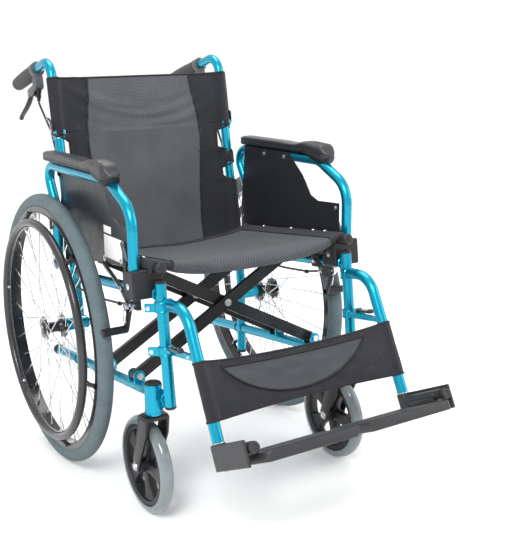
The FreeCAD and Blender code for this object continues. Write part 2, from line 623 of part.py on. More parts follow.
def calf_strap():
    """Band round both hangers, hanging a little between them."""
    top, low = -168, -62
    a = footed(HANGER_X, 0, top)
    b = footed(HANGER_X, 0, low)
    pieces = []
    for x in (-HANGER_X, HANGER_X):
        shift = V(x - HANGER_X, 0, 0)
        pieces.append(ring(a + shift, b + shift, 14.0, 11.5))
    sheet = block(footed, -HANGER_X + 2, HANGER_X - 2, 11.5, 14.0, top, low)
    return pieces[0].multiFuse([pieces[1], sheet])


os.makedirs("parts", exist_ok=True)
save_pair("side_frame", side_frame())
save_pair("frame_blocks", frame_blocks())
save_pair("frame_hardware", frame_hardware())
save_pair("wheel_lock", wheel_lock())
save_pair("brake_cable", brake_cable())
save_pair("back_post", back_post())
save_pair("grip", grip())
save_pair("lever_housing", lever_housing())
save_pair("att_lever", att_lever())
save("brace_A", brace(True))
save("brace_B", brace(False))
save("cross_bolts", cross_bolts())
save("seat_sling", seat_sling())
save("back_sling_lower", back_sling(124, FOLD_T - 3, [(124, 262), (303, 327)]))
save("back_sling_upper", back_sling(FOLD_T + 3, 525, [(418, 525)]))
save_pair("hanger", hanger().fuse(hanger_pin()))
save_pair("hanger_latch", hanger_latch())
save_pair("foot_tube", foot_tube())
save_pair("foot_bracket", foot_bracket())
save_pair("foot_pin", foot_pin())
save_pair("footplate", footplate())
save("calf_strap", calf_strap())
save_pair("armrest", armrest())
save_pair("arm_pad", arm_pad())
save_pair("skirt_guard", skirt_guard())
save_pair("arm_latch", arm_latch())
save_pair("tyre", tyre())
save_pair("rim", rim())
save_pair("spokes", spokes())
save_pair("handrim", handrim())
save_pair("caster_fork", caster_fork())
save_pair("caster_core", caster_core())
save_pair("caster_tyre", caster_tyre())
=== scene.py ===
import math

import bmesh
import bpy
from mathutils import Matrix, Vector, noise


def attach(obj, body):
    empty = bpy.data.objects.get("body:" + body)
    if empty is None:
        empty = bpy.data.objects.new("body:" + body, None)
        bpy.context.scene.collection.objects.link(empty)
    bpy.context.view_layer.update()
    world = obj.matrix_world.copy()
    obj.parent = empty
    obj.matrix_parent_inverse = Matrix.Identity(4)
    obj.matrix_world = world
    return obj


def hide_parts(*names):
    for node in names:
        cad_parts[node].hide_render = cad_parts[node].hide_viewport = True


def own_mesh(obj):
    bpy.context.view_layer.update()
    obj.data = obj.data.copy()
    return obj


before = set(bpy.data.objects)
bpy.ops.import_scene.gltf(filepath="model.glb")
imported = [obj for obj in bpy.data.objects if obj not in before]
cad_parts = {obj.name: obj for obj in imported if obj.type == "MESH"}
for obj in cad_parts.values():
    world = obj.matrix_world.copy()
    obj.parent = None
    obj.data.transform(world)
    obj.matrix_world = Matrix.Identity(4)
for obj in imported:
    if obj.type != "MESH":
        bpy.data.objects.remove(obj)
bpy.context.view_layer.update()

# Lengths are written in mm from the rear axle, as in the CAD, and turned into metres by P().
AXLE_Y, AXLE_Z = 198.6, 305.0
HALF = 222.0
WHEEL_X, HANDRIM_X, HANDRIM_R = 290.0, 320.0, 242.0
POST_S, LOWER_H, UPPER_H, SEAT_H = -426.0, -93.3, 112.0, 163.8
FOLD_T = 401.0
HEAD_X, HEAD_Y, HEAD_BOTTOM = 236.0, -390.0, 222.0
CASTER_Y, CASTER_Z = -352.0, 100.0
PAD_X, GUARD_IN, GUARD_OUT = 261.15, 242.4, 244.9
SPOKES = 36
LOCK_Y, LOCK_Z = -327.0, 428.0
HANGER_X, HANGER_H = 215.0, 93.0
FOOT_PIN_D, FOOT_INNER = -6.0, 9.2
GRIP_Z = 878.0


def spin(a):
    return math.cos(math.radians(a)), math.sin(math.radians(a))


def P(x, y, z):
    return Vector((x, y + AXLE_Y, z)) / 1000


def tilted(x, s, h):
    c, n = spin(6.5)
    return P(x, s * c + h * n, AXLE_Z - s * n + h * c)


def leaning(x, f, t):
    c, n = spin(10)
    return P(x, 12 + t * n - f * c, 340 + t * c + f * n)


def footed(x, u, d):
    c, n = spin(26.5)
    return P(x, -612 - u * c - d * n, 215 + u * n - d * c)


def gripped(x, g, n):
    c, s = spin(15)
    return P(x, 200 + g * c - n * s, GRIP_Z - g * s - n * c)


def wheeled(x, r, angle):
    c, s = spin(angle)
    return P(x, r * c, AXLE_Z + r * s)


X = Vector((1, 0, 0))
ALONG = (tilted(0, 1, 0) - tilted(0, 0, 0)).normalized()
SQUARE = (tilted(0, 0, 1) - tilted(0, 0, 0)).normalized()
LEAN_UP = (leaning(0, 0, 1) - leaning(0, 0, 0)).normalized()
GRIP_AXIS = (gripped(0, 1, 0) - gripped(0, 0, 0)).normalized()
FOOT_U = (footed(0, 1, 0) - footed(0, 0, 0)).normalized()
FOOT_D = (footed(0, 0, 1) - footed(0, 0, 0)).normalized()
SIDES = (("R", -1), ("L", 1))


# ---------------------------------------------------------------- materials

class Nodes:
    """A short way to write a node tree."""

    def __init__(self, name):
        self.mat = bpy.data.materials.new(name)
        self.mat.use_nodes = True
        self.tree = self.mat.node_tree
        self.shader = self.tree.nodes["Principled BSDF"]
        source = self.tree.nodes.new("ShaderNodeTexCoord")
        self.coords, self.flat = source.outputs["Object"], source.outputs["UV"]

    def add(self, kind, **inputs):
        node = self.tree.nodes.new("ShaderNode" + kind)
        for key, value in inputs.items():
            key = key.replace("_", " ")
            if isinstance(value, bpy.types.NodeSocket):
                self.tree.links.new(value, node.inputs[key])
            else:
                node.inputs[key].default_value = value
        return node

    def noise(self, scale, detail=4.0, rough=0.55, vector=None):
        return self.add("TexNoise", Vector=vector or self.coords, Scale=scale, Detail=detail, Roughness=rough)

    def ramp(self, value, stops):
        node = self.add("ValToRGB", Fac=value)
        band = node.color_ramp
        while len(band.elements) < len(stops):
            band.elements.new(0.5)
        for element, (place, colour) in zip(band.elements, stops):
            element.position = place
            element.color = (colour, colour, colour, 1) if isinstance(colour, float) else (*colour, 1)
        return node.outputs["Color"]

    def math(self, kind, a, b=0.0):
        node = self.tree.nodes.new("ShaderNodeMath")
        node.operation = kind
        for socket, value in zip(node.inputs, (a, b)):
            if isinstance(value, bpy.types.NodeSocket):
                self.tree.links.new(value, socket)
            else:
                socket.default_value = value
        return node.outputs[0]

    def bump(self, height, strength, distance, normal=None):
        node = self.add("Bump", Height=height, Strength=strength, Distance=distance)
        if normal is not None:
            self.tree.links.new(normal, node.inputs["Normal"])
        return node.outputs["Normal"]

    def link(self, value, name):
        self.tree.links.new(value, self.shader.inputs[name])

    def set(self, **inputs):
        for key, value in inputs.items():
            self.shader.inputs[key.replace("_", " ")].default_value = value
        return self


def shade(colour, k):
    return tuple(min(1.0, c * k) for c in colour)


def moulded(name, colour, rough=0.5, grain=900.0, depth=0.25, metal=0.0, coat=0.0, wear=0.12,
            scale=14.0, gloss=0.35):
    """Plastic, coated metal or rubber: uneven tone, fine grain, scuffed roughness."""
    m = Nodes(name)
    broad = m.noise(scale, 5.0, 0.6).outputs["Fac"]
    fine = m.noise(grain, 2.0, 0.5).outputs["Fac"]
    m.link(m.ramp(broad, [(0.3, shade(colour, 1 - wear)), (0.7, shade(colour, 1 + wear))]), "Base Color")
    scuff = m.noise(scale * 9, 6.0, 0.7).outputs["Fac"]
    m.link(m.ramp(scuff, [(0.35, max(0.03, rough - 0.08)), (0.75, min(1.0, rough + 0.1))]), "Roughness")
    m.link(m.bump(fine, depth, 0.0004), "Normal")
    return m.set(Metallic=metal, Coat_Weight=coat, Coat_Roughness=0.08, Specular_IOR_Level=gloss).mat


def brushed(name, colour, rough, stretch=(1, 1, 30)):
    """Plated or polished metal with faint fine lines."""
    m = Nodes(name)
    place = m.add("Mapping", Vector=m.coords, Scale=stretch).outputs["Vector"]
    lines = m.noise(160.0, 3.0, 0.6, place).outputs["Fac"]
    m.link(m.ramp(lines, [(0.3, max(0.03, rough - 0.06)), (0.7, rough + 0.1)]), "Roughness")
    patina = m.noise(40.0, 4.0).outputs["Fac"]
    m.link(m.ramp(patina, [(0.3, shade(colour, 0.86)), (0.7, colour)]), "Base Color")
    m.link(m.bump(lines, 0.06, 0.0002), "Normal")
    return m.set(Metallic=1.0).mat


def lacquer(name):
    """Metallic turquoise paint: flakes under a clear coat, with painted shade that makes the colour slightly
    darker in the hollows of the flake bump; a broad noise varies the tone at random.
    """
    m = Nodes(name)
    flake = m.add("TexVoronoi", Vector=m.coords, Scale=1500.0).outputs["Distance"]
    tone = m.noise(9.0, 3.0).outputs["Fac"]
    # Painted shade: the colour is darker where the flake bump is low (its hollows), on top of a random tone
    # noise.
    flake_shade_and_tone = m.math("ADD", m.math("MULTIPLY", flake, 0.22), m.math("MULTIPLY", tone, 0.60))
    m.link(m.ramp(flake_shade_and_tone, [(0.20, (0.0, 0.260, 0.400)), (0.62, (0.001, 0.335, 0.480))]), "Base Color")
    m.link(m.ramp(m.noise(120.0, 5.0, 0.7).outputs["Fac"], [(0.3, 0.24), (0.75, 0.34)]), "Roughness")
    m.link(m.bump(flake, 0.03, 0.0002), "Normal")
    return m.set(Metallic=0.82, Coat_Weight=0.28, Coat_Roughness=0.05).mat


def cloth(name, colour, pitch, depth=0.5, sheen=0.08, lift=1.5):
    """Plain weave from two crossed wave bands in the sheet's own plane, with fibre noise over it."""
    m = Nodes(name)
    fibre = m.noise(1400.0, 3.0).outputs["Fac"]
    waves = []
    for turn in (0.0, math.pi / 2):
        place = m.add("Mapping", Vector=m.flat, Rotation=(0, 0, turn)).outputs["Vector"]
        wave = m.add("TexWave", Vector=place, Scale=pitch, Distortion=0.3, Detail=1.0)
        waves.append(wave.outputs["Fac"])
    weave = m.math("MULTIPLY", waves[0], waves[1])
    height = m.math("ADD", weave, m.math("MULTIPLY", fibre, 0.35))
    broad = m.noise(11.0, 5.0, 0.65).outputs["Fac"]
    tone = m.math("ADD", m.math("MULTIPLY", weave, 0.35), m.math("MULTIPLY", broad, 0.65))
    m.link(m.ramp(tone, [(0.15, shade(colour, 0.62)), (0.7, shade(colour, lift))]), "Base Color")
    m.link(m.ramp(fibre, [(0.3, 0.62), (0.7, 0.82)]), "Roughness")
    m.link(m.bump(height, depth, 0.0005), "Normal")
    return m.set(Sheen_Weight=sheen, Sheen_Roughness=0.5, Specular_IOR_Level=0.3).mat


def mesh_cloth(name, dark, light, pitch=0.0046):
    """Open spacer mesh: rows of small holes set on the slant in a paler net."""
    m = Nodes(name)
    place = m.add("Mapping", Vector=m.flat, Rotation=(0, 0, math.pi / 4), Scale=(1 / pitch, 1 / pitch, 1))
    place = place.outputs["Vector"]
    cell = m.add("TexVoronoi", Vector=place, Scale=1.0, Randomness=0.0)
    cell.voronoi_dimensions = "2D"
    holes = cell.outputs["Distance"]
    broad = m.noise(13.0, 4.0).outputs["Fac"]
    thread = m.noise(900.0, 2.0).outputs["Fac"]
    shown = m.math("ADD", holes, m.math("MULTIPLY", m.math("SUBTRACT", broad, 0.5), 0.25))
    m.link(m.ramp(shown, [(0.16, dark), (0.48, light)]), "Base Color")
    m.link(m.ramp(thread, [(0.3, 0.6), (0.7, 0.8)]), "Roughness")
    m.link(m.bump(holes, 0.8, 0.0010), "Normal")
    return m.set(Sheen_Weight=0.08, Sheen_Roughness=0.5, Specular_IOR_Level=0.35).mat


def tread(name, colour):
    """Solid tyre: fine grooves across the tread, read from the angle about the axle."""
    m = Nodes(name)
    place = m.add("Mapping", Vector=m.coords, Location=(0, -AXLE_Y / 1000, -AXLE_Z / 1000)).outputs["Vector"]
    split = m.add("SeparateXYZ", Vector=place)
    turn = m.math("ARCTAN2", split.outputs["Z"], split.outputs["Y"])
    off_centre = m.math("SUBTRACT", m.math("ABSOLUTE", split.outputs["X"]), WHEEL_X / 1000)
    skew = m.math("MULTIPLY", m.math("ABSOLUTE", off_centre), 160.0)
    grooves = m.math("SINE", m.math("ADD", m.math("MULTIPLY", turn, 400.0), skew))
    radius = m.add("VectorMath", Vector=m.add("CombineXYZ", Y=split.outputs["Y"],
                                              Z=split.outputs["Z"]).outputs[0])
    radius.operation = "LENGTH"
    on_tread = m.ramp(m.math("MULTIPLY", m.math("SUBTRACT", radius.outputs["Value"], 0.284), 60.0),
                      [(0.0, 0.0), (0.35, 1.0)])
    height = m.math("MULTIPLY", grooves, on_tread)
    broad = m.noise(20.0, 5.0).outputs["Fac"]
    m.link(m.ramp(broad, [(0.3, shade(colour, 0.85)), (0.7, shade(colour, 1.12))]), "Base Color")
    m.link(m.ramp(m.noise(300.0).outputs["Fac"], [(0.3, 0.55), (0.7, 0.75)]), "Roughness")
    m.link(m.bump(height, 0.7, 0.0008), "Normal")
    return m.set(Specular_IOR_Level=0.45).mat


MAT = {
    "blue": lacquer("turquoise_lacquer"),
    "black": moulded("black_plastic_skin", (0.014, 0.014, 0.016), 0.42, 1100.0, 0.2),
    "black_coat": moulded("black_coat", (0.011, 0.011, 0.013), 0.36, 1600.0, 0.12, coat=0.1),
    "guard": moulded("guard_sheet", (0.0160, 0.0170, 0.0205), 0.40, 500.0, 0.04, coat=0.08, scale=6.0,
                     gloss=0.45),
    "gloss": moulded("gloss_black", (0.012, 0.012, 0.014), 0.13, 500.0, 0.03, coat=0.6, scale=6.0),
    "steel": brushed("bright_steel_skin", (0.66, 0.67, 0.69), 0.24),
    "spoke": brushed("spoke_wire", (0.76, 0.77, 0.79), 0.22),
    "chrome": brushed("chrome_skin", (0.82, 0.83, 0.85), 0.09),
    "grip": moulded("grip_rubber", (0.050, 0.051, 0.054), 0.55, 1500.0, 0.5),
    "casting": moulded("lever_casting", (0.075, 0.078, 0.084), 0.42, 1200.0, 0.2, gloss=0.5),
    "pad": moulded("pad_skin", (0.024, 0.025, 0.028), 0.38, 800.0, 0.3, gloss=0.5),
    "pad_dark": moulded("pad_underbody", (0.014, 0.014, 0.016), 0.5, 900.0, 0.3),
    "foot": moulded("foot_plastic", (0.024, 0.025, 0.027), 0.45, 900.0, 0.3, gloss=0.4),
    "tyre": tread("tyre_rubber", (0.094, 0.132, 0.146)),
    "caster": moulded("caster_rubber", (0.155, 0.186, 0.196), 0.20, 700.0, 0.05, coat=0.4, gloss=0.5),
    "handrim": moulded("handrim_coat", (0.032, 0.033, 0.036), 0.3, 1200.0, 0.06, metal=0.2, coat=0.25),
    "rim": moulded("rim_black_skin", (0.018, 0.018, 0.02), 0.25, 1500.0, 0.04, metal=0.2, coat=0.4),
    "nylon": cloth("dark_nylon", (0.0120, 0.0130, 0.0180), 700.0, sheen=0.12),
    "seat": cloth("seat_nylon", (0.016, 0.017, 0.021), 600.0),
    "net": mesh_cloth("grey_mesh", (0.010, 0.011, 0.013), (0.108, 0.115, 0.126)),
    "seat_net": mesh_cloth("seat_mesh", (0.008, 0.009, 0.011), (0.072, 0.077, 0.090)),
    "piping": moulded("piping_cord", (0.010, 0.010, 0.011), 0.6, 1400.0, 0.5),
    "label": moulded("blank_label", (0.74, 0.74, 0.73), 0.45, 300.0, 0.05),
    "cable": moulded("cable_skin", (0.012, 0.012, 0.013), 0.35, 1200.0, 0.05),
}

SKIN = {
    "side_frame": "blue", "back_post": "blue", "hanger": "blue", "armrest": "blue", "frame_blocks": "black",
    "frame_hardware": "steel", "cross_bolts": "steel", "wheel_lock": "black_coat", "brake_cable": "cable",
    "grip": "grip", "lever_housing": "casting", "att_lever": "black", "hanger_latch": "gloss",
    "foot_tube": "chrome", "foot_bracket": "foot", "foot_pin": "foot", "footplate": "foot", "arm_pad": "pad",
    "skirt_guard": "guard", "arm_latch": "gloss", "tyre": "tyre", "rim": "rim", "spokes": "spoke",
    "handrim": "handrim", "caster_fork": "black_coat", "caster_core": "black", "caster_tyre": "caster",
    "brace_A": "black_coat", "brace_B": "black_coat", "seat_sling": "seat", "back_sling_lower": "nylon",
    "back_sling_upper": "nylon", "calf_strap": "nylon",
}
for name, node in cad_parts.items():
    kind = name[:-2] if name[-2:] in ("_L", "_R") else name
    for spot in node.material_slots:
        spot.material = MAT[SKIN[kind]]


# ---------------------------------------------------------------- camera, light and floor

def stage_scene():
    target = P(6.5, -200, 491.4)
    az, el, roll = (math.radians(a) for a in (-30.12, 12.40, -1.14))
    back = Vector((math.sin(az) * math.cos(el), -math.cos(az) * math.cos(el), math.sin(el)))
    right = Vector((0, 0, 1)).cross(back).normalized()
    up = back.cross(right)
    c, s = math.cos(roll), math.sin(roll)
    axes = Matrix((right * c + up * s, up * c - right * s, back)).transposed()
    data = bpy.data.cameras.new("camera")
    data.lens, data.sensor_width = 59.94, 36.0
    data.shift_x, data.shift_y = 0.0974, -0.0390
    camera = bpy.data.objects.new("camera", data)
    camera.matrix_world = Matrix.Translation(target + back * 1.961) @ axes.to_4x4()
    bpy.context.collection.objects.link(camera)
    bpy.context.scene.camera = camera

    for name, place, size, power in (("key", (-2.4, -2.6, 3.4), 1.6, 130),
                                     ("fill", (3.2, -2.2, 2.0), 2.4, 30),
                                     ("top", (0.3, 0.8, 3.8), 2.2, 60)):
        light = bpy.data.lights.new(name, "AREA")
        light.shape, light.size, light.energy = "DISK", size, power
        lamp = bpy.data.objects.new(name, light)
        lamp.location = place
        aim = Vector((0, 0, 0.45)) - lamp.location
        lamp.rotation_euler = aim.to_track_quat("-Z", "Y").to_euler()
        bpy.context.collection.objects.link(lamp)

    world = bpy.data.worlds.new("studio")
    world.use_nodes = True
    world.node_tree.nodes["Background"].inputs["Color"].default_value = (1, 1, 1, 1)
    world.node_tree.nodes["Background"].inputs["Strength"].default_value = 1.06
    bpy.context.scene.world = world
    bpy.context.scene.view_settings.view_transform = "Standard"

    mesh = bpy.data.meshes.new("floor")
    corners = [(-60, -60, 0), (60, -60, 0), (60, 60, 0), (-60, 60, 0)]
    mesh.from_pydata([Vector(p) for p in corners], [], [(0, 1, 2, 3)])
    floor = bpy.data.objects.new("floor", mesh)
    bpy.context.collection.objects.link(floor)
    paper = Nodes("floor_paper")
    paper.link(paper.ramp(paper.noise(3.0).outputs["Fac"], [(0.3, 0.965), (0.7, 0.985)]), "Base Color")
    mesh.materials.append(paper.set(Roughness=0.8).mat)


stage_scene()

# ---------------------------------------------------------------- mesh building

def smooth_path(points, steps=8, closed=False):
    """Catmull-Rom through the points."""
    out, count = [], len(points)
    runs = count if closed else count - 1
    for i in range(runs):
        if closed:
            a, b, c, d = (points[(i + k) % count] for k in (-1, 0, 1, 2))
        else:
            a, b, c, d = (points[min(max(i + k, 0), count - 1)] for k in (-1, 0, 1, 2))
        for j in range(steps):
            t = j / steps
            out.append(0.5 * ((2 * b) + (c - a) * t + (2 * a - 5 * b + 4 * c - d) * t * t
                              + (3 * b - a - 3 * c + d) * t ** 3))
    return out if closed else out + [points[-1].copy()]


class Piece:
    """One object built up from shapes, riding on one body."""

    def __init__(self, name, body, *skins):
        self.name, self.body, self.skins = name, body, skins
        self.bm = bmesh.new()
        self.painted = self.bm.faces.layers.int.new("painted")

    def paint(self, index):
        """Gives the faces added since the last call this material."""
        for face in self.bm.faces:
            if not face[self.painted]:
                face.material_index, face[self.painted] = index, 1

    def lathe(self, place, axis, profile, segments=28, closed=False):
        axis = axis.normalized()
        side = axis.orthogonal().normalized()
        other = axis.cross(side)
        rings = []
        for along, radius in profile:
            ring = []
            for i in range(segments):
                a = 2 * math.pi * i / segments
                out = side * math.cos(a) + other * math.sin(a)
                ring.append(self.bm.verts.new(place + axis * along / 1000 + out * max(radius, 0.02) / 1000))
            rings.append(ring)
        pairs = list(zip(rings, rings[1:]))
        if closed:
            pairs.append((rings[-1], rings[0]))
        for low, high in pairs:
            for i in range(segments):
                j = (i + 1) % segments
                self.bm.faces.new((low[i], low[j], high[j], high[i]))
        if not closed:
            self.bm.faces.new(rings[0][::-1])
            self.bm.faces.new(rings[-1])
        return self

    def tube(self, points, radius, closed=False, segments=12, flat=1.0, normal=None):
        """A round or flattened tube; radius may be one number or one for each point."""
        radii = radius if isinstance(radius, (list, tuple)) else [radius] * len(points)
        count = len(points)
        tangents = []
        for i in range(count):
            a = points[(i - 1) % count] if closed or i else points[0]
            b = points[(i + 1) % count] if closed or i < count - 1 else points[-1]
            tangents.append((b - a).normalized())
        side = normal.normalized() if normal else tangents[0].orthogonal().normalized()
        rings = []
        for point, tangent, r in zip(points, tangents, radii):
            side = (side - tangent * side.dot(tangent)).normalized()
            other = tangent.cross(side)
            ring = []
            for k in range(segments):
                a = 2 * math.pi * k / segments
                out = side * math.cos(a) + other * math.sin(a) * flat
                ring.append(self.bm.verts.new(point + out * r / 1000))
            rings.append(ring)
        pairs = list(zip(rings, rings[1:]))
        if closed:
            pairs.append((rings[-1], rings[0]))
        for low, high in pairs:
            for k in range(segments):
                j = (k + 1) % segments
                self.bm.faces.new((low[k], low[j], high[j], high[k]))
        if not closed:
            self.bm.faces.new(rings[0][::-1])
            self.bm.faces.new(rings[-1])
        return self

    def prism(self, outline, run, bevel=1.2, segments=2):
        """An outline (points in metres) pushed along run, with rounded edges."""
        low = [self.bm.verts.new(p) for p in outline]
        high = [self.bm.verts.new(p + run) for p in outline]
        count = len(outline)
        faces = [self.bm.faces.new(low[::-1]), self.bm.faces.new(high)]
        for i in range(count):
            j = (i + 1) % count
            faces.append(self.bm.faces.new((low[i], low[j], high[j], high[i])))
        bmesh.ops.recalc_face_normals(self.bm, faces=faces)
        edges = list({e for f in faces for e in f.edges
                      if len(e.link_faces) == 2 and e.calc_face_angle(0) > 0.5})
        if bevel and edges:
            bmesh.ops.bevel(self.bm, geom=edges, offset=bevel / 1000, segments=segments, profile=0.5,
                            affect="EDGES", clamp_overlap=True)
        return self

    def box(self, place, x0, x1, a0, a1, b0, b1, bevel=1.2, segments=2):
        corners = [place(x0, a0, b0), place(x0, a1, b0), place(x0, a1, b1), place(x0, a0, b1)]
        return self.prism(corners, X * (x1 - x0) / 1000, bevel, segments)

    def bolt(self, place, axis, r, h, washer=0.0):
        """A domed head with a cross recess on an optional washer."""
        axis = axis.normalized()
        if washer:
            self.lathe(place, axis, [(0, washer * 0.6), (0, washer), (0.8, washer), (0.9, washer * 0.6)], 20)
        self.lathe(place, axis, [(0, r * 0.5), (0, r), (h * 0.45, r), (h * 0.85, r * 0.72), (h, r * 0.3)], 18)
        side = axis.orthogonal().normalized()
        other = axis.cross(side)
        for a, b in ((side, other), (other, side)):
            base = place + axis * (h - 0.15) / 1000
            corners = [base + a * k * r * 0.55 / 1000 + b * m * 0.1 * r / 1000
                       for k, m in ((-1, -1), (1, -1), (1, 1), (-1, 1))]
            self.prism(corners, axis * 0.3 / 1000, 0)
        return self

    def hexagon(self, place, axis, r, h):
        axis = axis.normalized()
        side = axis.orthogonal().normalized()
        other = axis.cross(side)
        outline = [place + (side * math.cos(k * math.pi / 3) + other * math.sin(k * math.pi / 3)) * r / 1000
                   for k in range(6)]
        return self.prism(outline, axis * h / 1000, 0.5)

    def done(self, *nodes, sharp=38.0, ride=True):
        self.bm.faces.layers.int.remove(self.painted)
        bmesh.ops.recalc_face_normals(self.bm, faces=self.bm.faces[:])
        for face in self.bm.faces:
            face.smooth = True
        for edge in self.bm.edges:
            edge.smooth = len(edge.link_faces) == 2 and edge.calc_face_angle(0) < math.radians(sharp)
        mesh = bpy.data.meshes.new(self.name)
        self.bm.to_mesh(mesh)
        self.bm.free()
        return settle(self.name, mesh, self.body if ride else None, self.skins, nodes)


def settle(name, mesh, body, skins, nodes=()):
    obj = bpy.data.objects.new(name, mesh)
    bpy.context.collection.objects.link(obj)
    for skin in skins:
        mesh.materials.append(MAT[skin])
    if body:
        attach(obj, body)
    if nodes:
        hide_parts(*nodes)
    return obj


def apply_modifiers(obj):
    bpy.context.view_layer.update()
    graph = bpy.context.evaluated_depsgraph_get()
    mesh = bpy.data.meshes.new_from_object(obj.evaluated_get(graph))
    obj.modifiers.clear()
    old = obj.data
    obj.data = mesh
    mesh.name = old.name
    return obj


def drape(obj, pinned, cap, gravity=1.0, frames=20, pressure=0.0, shrink=0.0, stiff=12.0):
    """Cloth simulation on obj, held at the pinned vertices; no point moves further than cap (mm)."""
    rest = [v.co.copy() for v in obj.data.vertices]
    group = obj.vertex_groups.new(name="held")
    group.add([i for i in range(len(rest)) if pinned(i)], 1.0, "REPLACE")
    cloth_mod = obj.modifiers.new("cloth", "CLOTH")
    settings = cloth_mod.settings
    settings.vertex_group_mass = "held"
    settings.tension_stiffness = settings.compression_stiffness = stiff
    settings.bending_stiffness = 0.4
    settings.shrink_min = shrink
    settings.effector_weights.gravity = gravity
    if pressure:
        settings.use_pressure = True
        settings.uniform_pressure_force = pressure
    cloth_mod.point_cache.frame_start, cloth_mod.point_cache.frame_end = 1, frames
    scene = bpy.context.scene
    for number in range(1, frames + 1):
        scene.frame_set(number)
    apply_modifiers(obj)
    scene.frame_set(1)
    for vertex, start in zip(obj.data.vertices, rest):
        move = vertex.co - start
        if move.length > cap / 1000:
            vertex.co = start + move.normalized() * cap / 1000
    return obj


def thicken(obj, mm, levels=1):
    solid = obj.modifiers.new("thick", "SOLIDIFY")
    solid.thickness, solid.offset = mm / 1000, 0.0
    if levels:
        smooth = obj.modifiers.new("smooth", "SUBSURF")
        smooth.levels = levels
    apply_modifiers(obj)
    for face in obj.data.polygons:
        face.use_smooth = True
    return obj


def sheet_mesh(name, rows, columns, point, flat, skin_at, skins):
    """A grid: point(i, j) and flat(i, j), its place in the cloth, for corners; skin_at(i, j) for faces."""
    verts = [point(i, j) for i in range(rows + 1) for j in range(columns + 1)]
    wide = columns + 1
    faces = [(i * wide + j, i * wide + j + 1, (i + 1) * wide + j + 1, (i + 1) * wide + j)
             for i in range(rows) for j in range(columns)]
    mesh = bpy.data.meshes.new(name)
    mesh.from_pydata(verts, [], faces)
    layer = mesh.uv_layers.new(name="cloth")
    for k, face in enumerate(mesh.polygons):
        face.material_index = skin_at(k // columns, k % columns)
        face.use_smooth = True
        for loop in face.loop_indices:
            i, j = divmod(mesh.loops[loop].vertex_index, wide)
            layer.data[loop].uv = flat(i, j)
    obj = bpy.data.objects.new(name, mesh)
    bpy.context.collection.objects.link(obj)
    for skin in skins:
        mesh.materials.append(MAT[skin])
    return obj


def ripple(a, b, seed, scale=1.0):
    return noise.noise(Vector((a * scale, b * scale, seed * 7.31)))


# ---------------------------------------------------------------- seat sling

def make_seat():
    """Sling over both seat rails: wraps each rail, sags between them, and rolls under at the front."""
    wrap = 12.9
    angles = [-20, 5, 30, 55, 75]
    left = [(-HALF - wrap * math.cos(math.radians(a)), wrap * math.sin(math.radians(a))) for a in angles]
    spread = 52
    flat = []
    for k in range(spread + 1):
        x = -HALF + 2 * HALF * k / spread
        flat.append((x, wrap - 13.0 * (1 - (x / HALF) ** 2)))
    section = left + flat + [(-x, h) for x, h in reversed(left)]
    rows, columns = 56, len(section) - 1
    roll = [(-396, -27), (-407, -26), (-416, -21), (-420.5, -13), (-419, -5), (-412, 0)]

    def point(i, j):
        x, h = section[j]
        middle = 1 - min(1.0, abs(x) / HALF) ** 2
        if i < len(roll):
            s, drop = roll[i]
            drop *= 0.35 + 0.65 * min(1.0, middle * 3)
        else:
            s, drop = -412 + (i - len(roll) + 1) * (376.0 / (rows - len(roll) + 1)), 0
        fold = middle * (3.0 * ripple(x * 0.008, s * 0.012, 1) + 1.6 * ripple(x * 0.03, s * 0.008, 2))
        fold += middle * 4.5 * math.exp(-((s + 392) / 26.0) ** 2)
        return tilted(x, s, SEAT_H + h + drop + fold)

    def flat(i, j):
        return section[j][0] / 1000, i * 0.0068

    def panel(i, j):
        x = (section[j][0] + section[j + 1][0]) / 2
        return 1 if abs(x) < 188 and i < rows - 4 else 0

    seat = sheet_mesh("seat_cover", rows, columns, point, flat, panel, ("seat", "seat_net"))
    wide = columns + 1
    held = {i * wide + j for i in range(rows + 1) for j in range(wide) if j < 6 or j > wide - 7}
    drape(seat, lambda k: k in held, 9.0, gravity=0.6, frames=14)
    co = [v.co.copy() for v in seat.data.vertices]
    thicken(seat, 3.2)
    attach(seat, "seat")
    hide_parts("seat_sling")

    def line(j0, i0=2, i1=rows - 4):
        return [co[i * wide + j0] for i in range(i0, i1 + 1)]

    trim = Piece("seat_binding", "seat", "piping", "nylon", "steel")
    edge_a = min(range(wide), key=lambda j: abs(section[j][0] + 188))
    edge_b = wide - 1 - edge_a
    up = SQUARE * 1.9 / 1000
    for j in (edge_a, edge_b):
        trim.tube([p + up for p in line(j)], 1.7, segments=8)
    trim.tube([co[(rows - 4) * wide + j] + up for j in range(edge_a, edge_b + 1)], 1.7, segments=8)
    trim.tube([co[rows * wide + j] for j in range(3, wide - 3)], 3.0, segments=8)
    trim.paint(0)
    for side in (-1, 1):
        for s in (-118, -232, -317, -359):
            top = tilted(side * (HALF - 1.5), s, SEAT_H + 14.4)
            trim.bolt(top, SQUARE - X * side * 0.15, 4.6, 2.6, washer=6.4)
    trim.paint(2)
    trim = trim.done()
    return seat, trim


seat, seat_trim = make_seat()


# ---------------------------------------------------------------- back slings

def panel_edge(t):
    """Half width of the mesh panel: widest beside the half-fold hinge."""
    return 132 + 18 * math.exp(-((t - 375) / 105) ** 2)


def back_edge(t):
    """Half width of the back cloth, cut away where the post shows."""
    edge = 235.0
    for low, high, depth in ((256, 297, 33), (331, 391, 38)):
        if low - 7 < t < high + 7:
            inside = min(1.0, (t - low + 7) / 18, (high + 7 - t) / 18)
            edge = min(edge, 235.0 - depth * (3 * inside ** 2 - 2 * inside ** 3))
    return edge


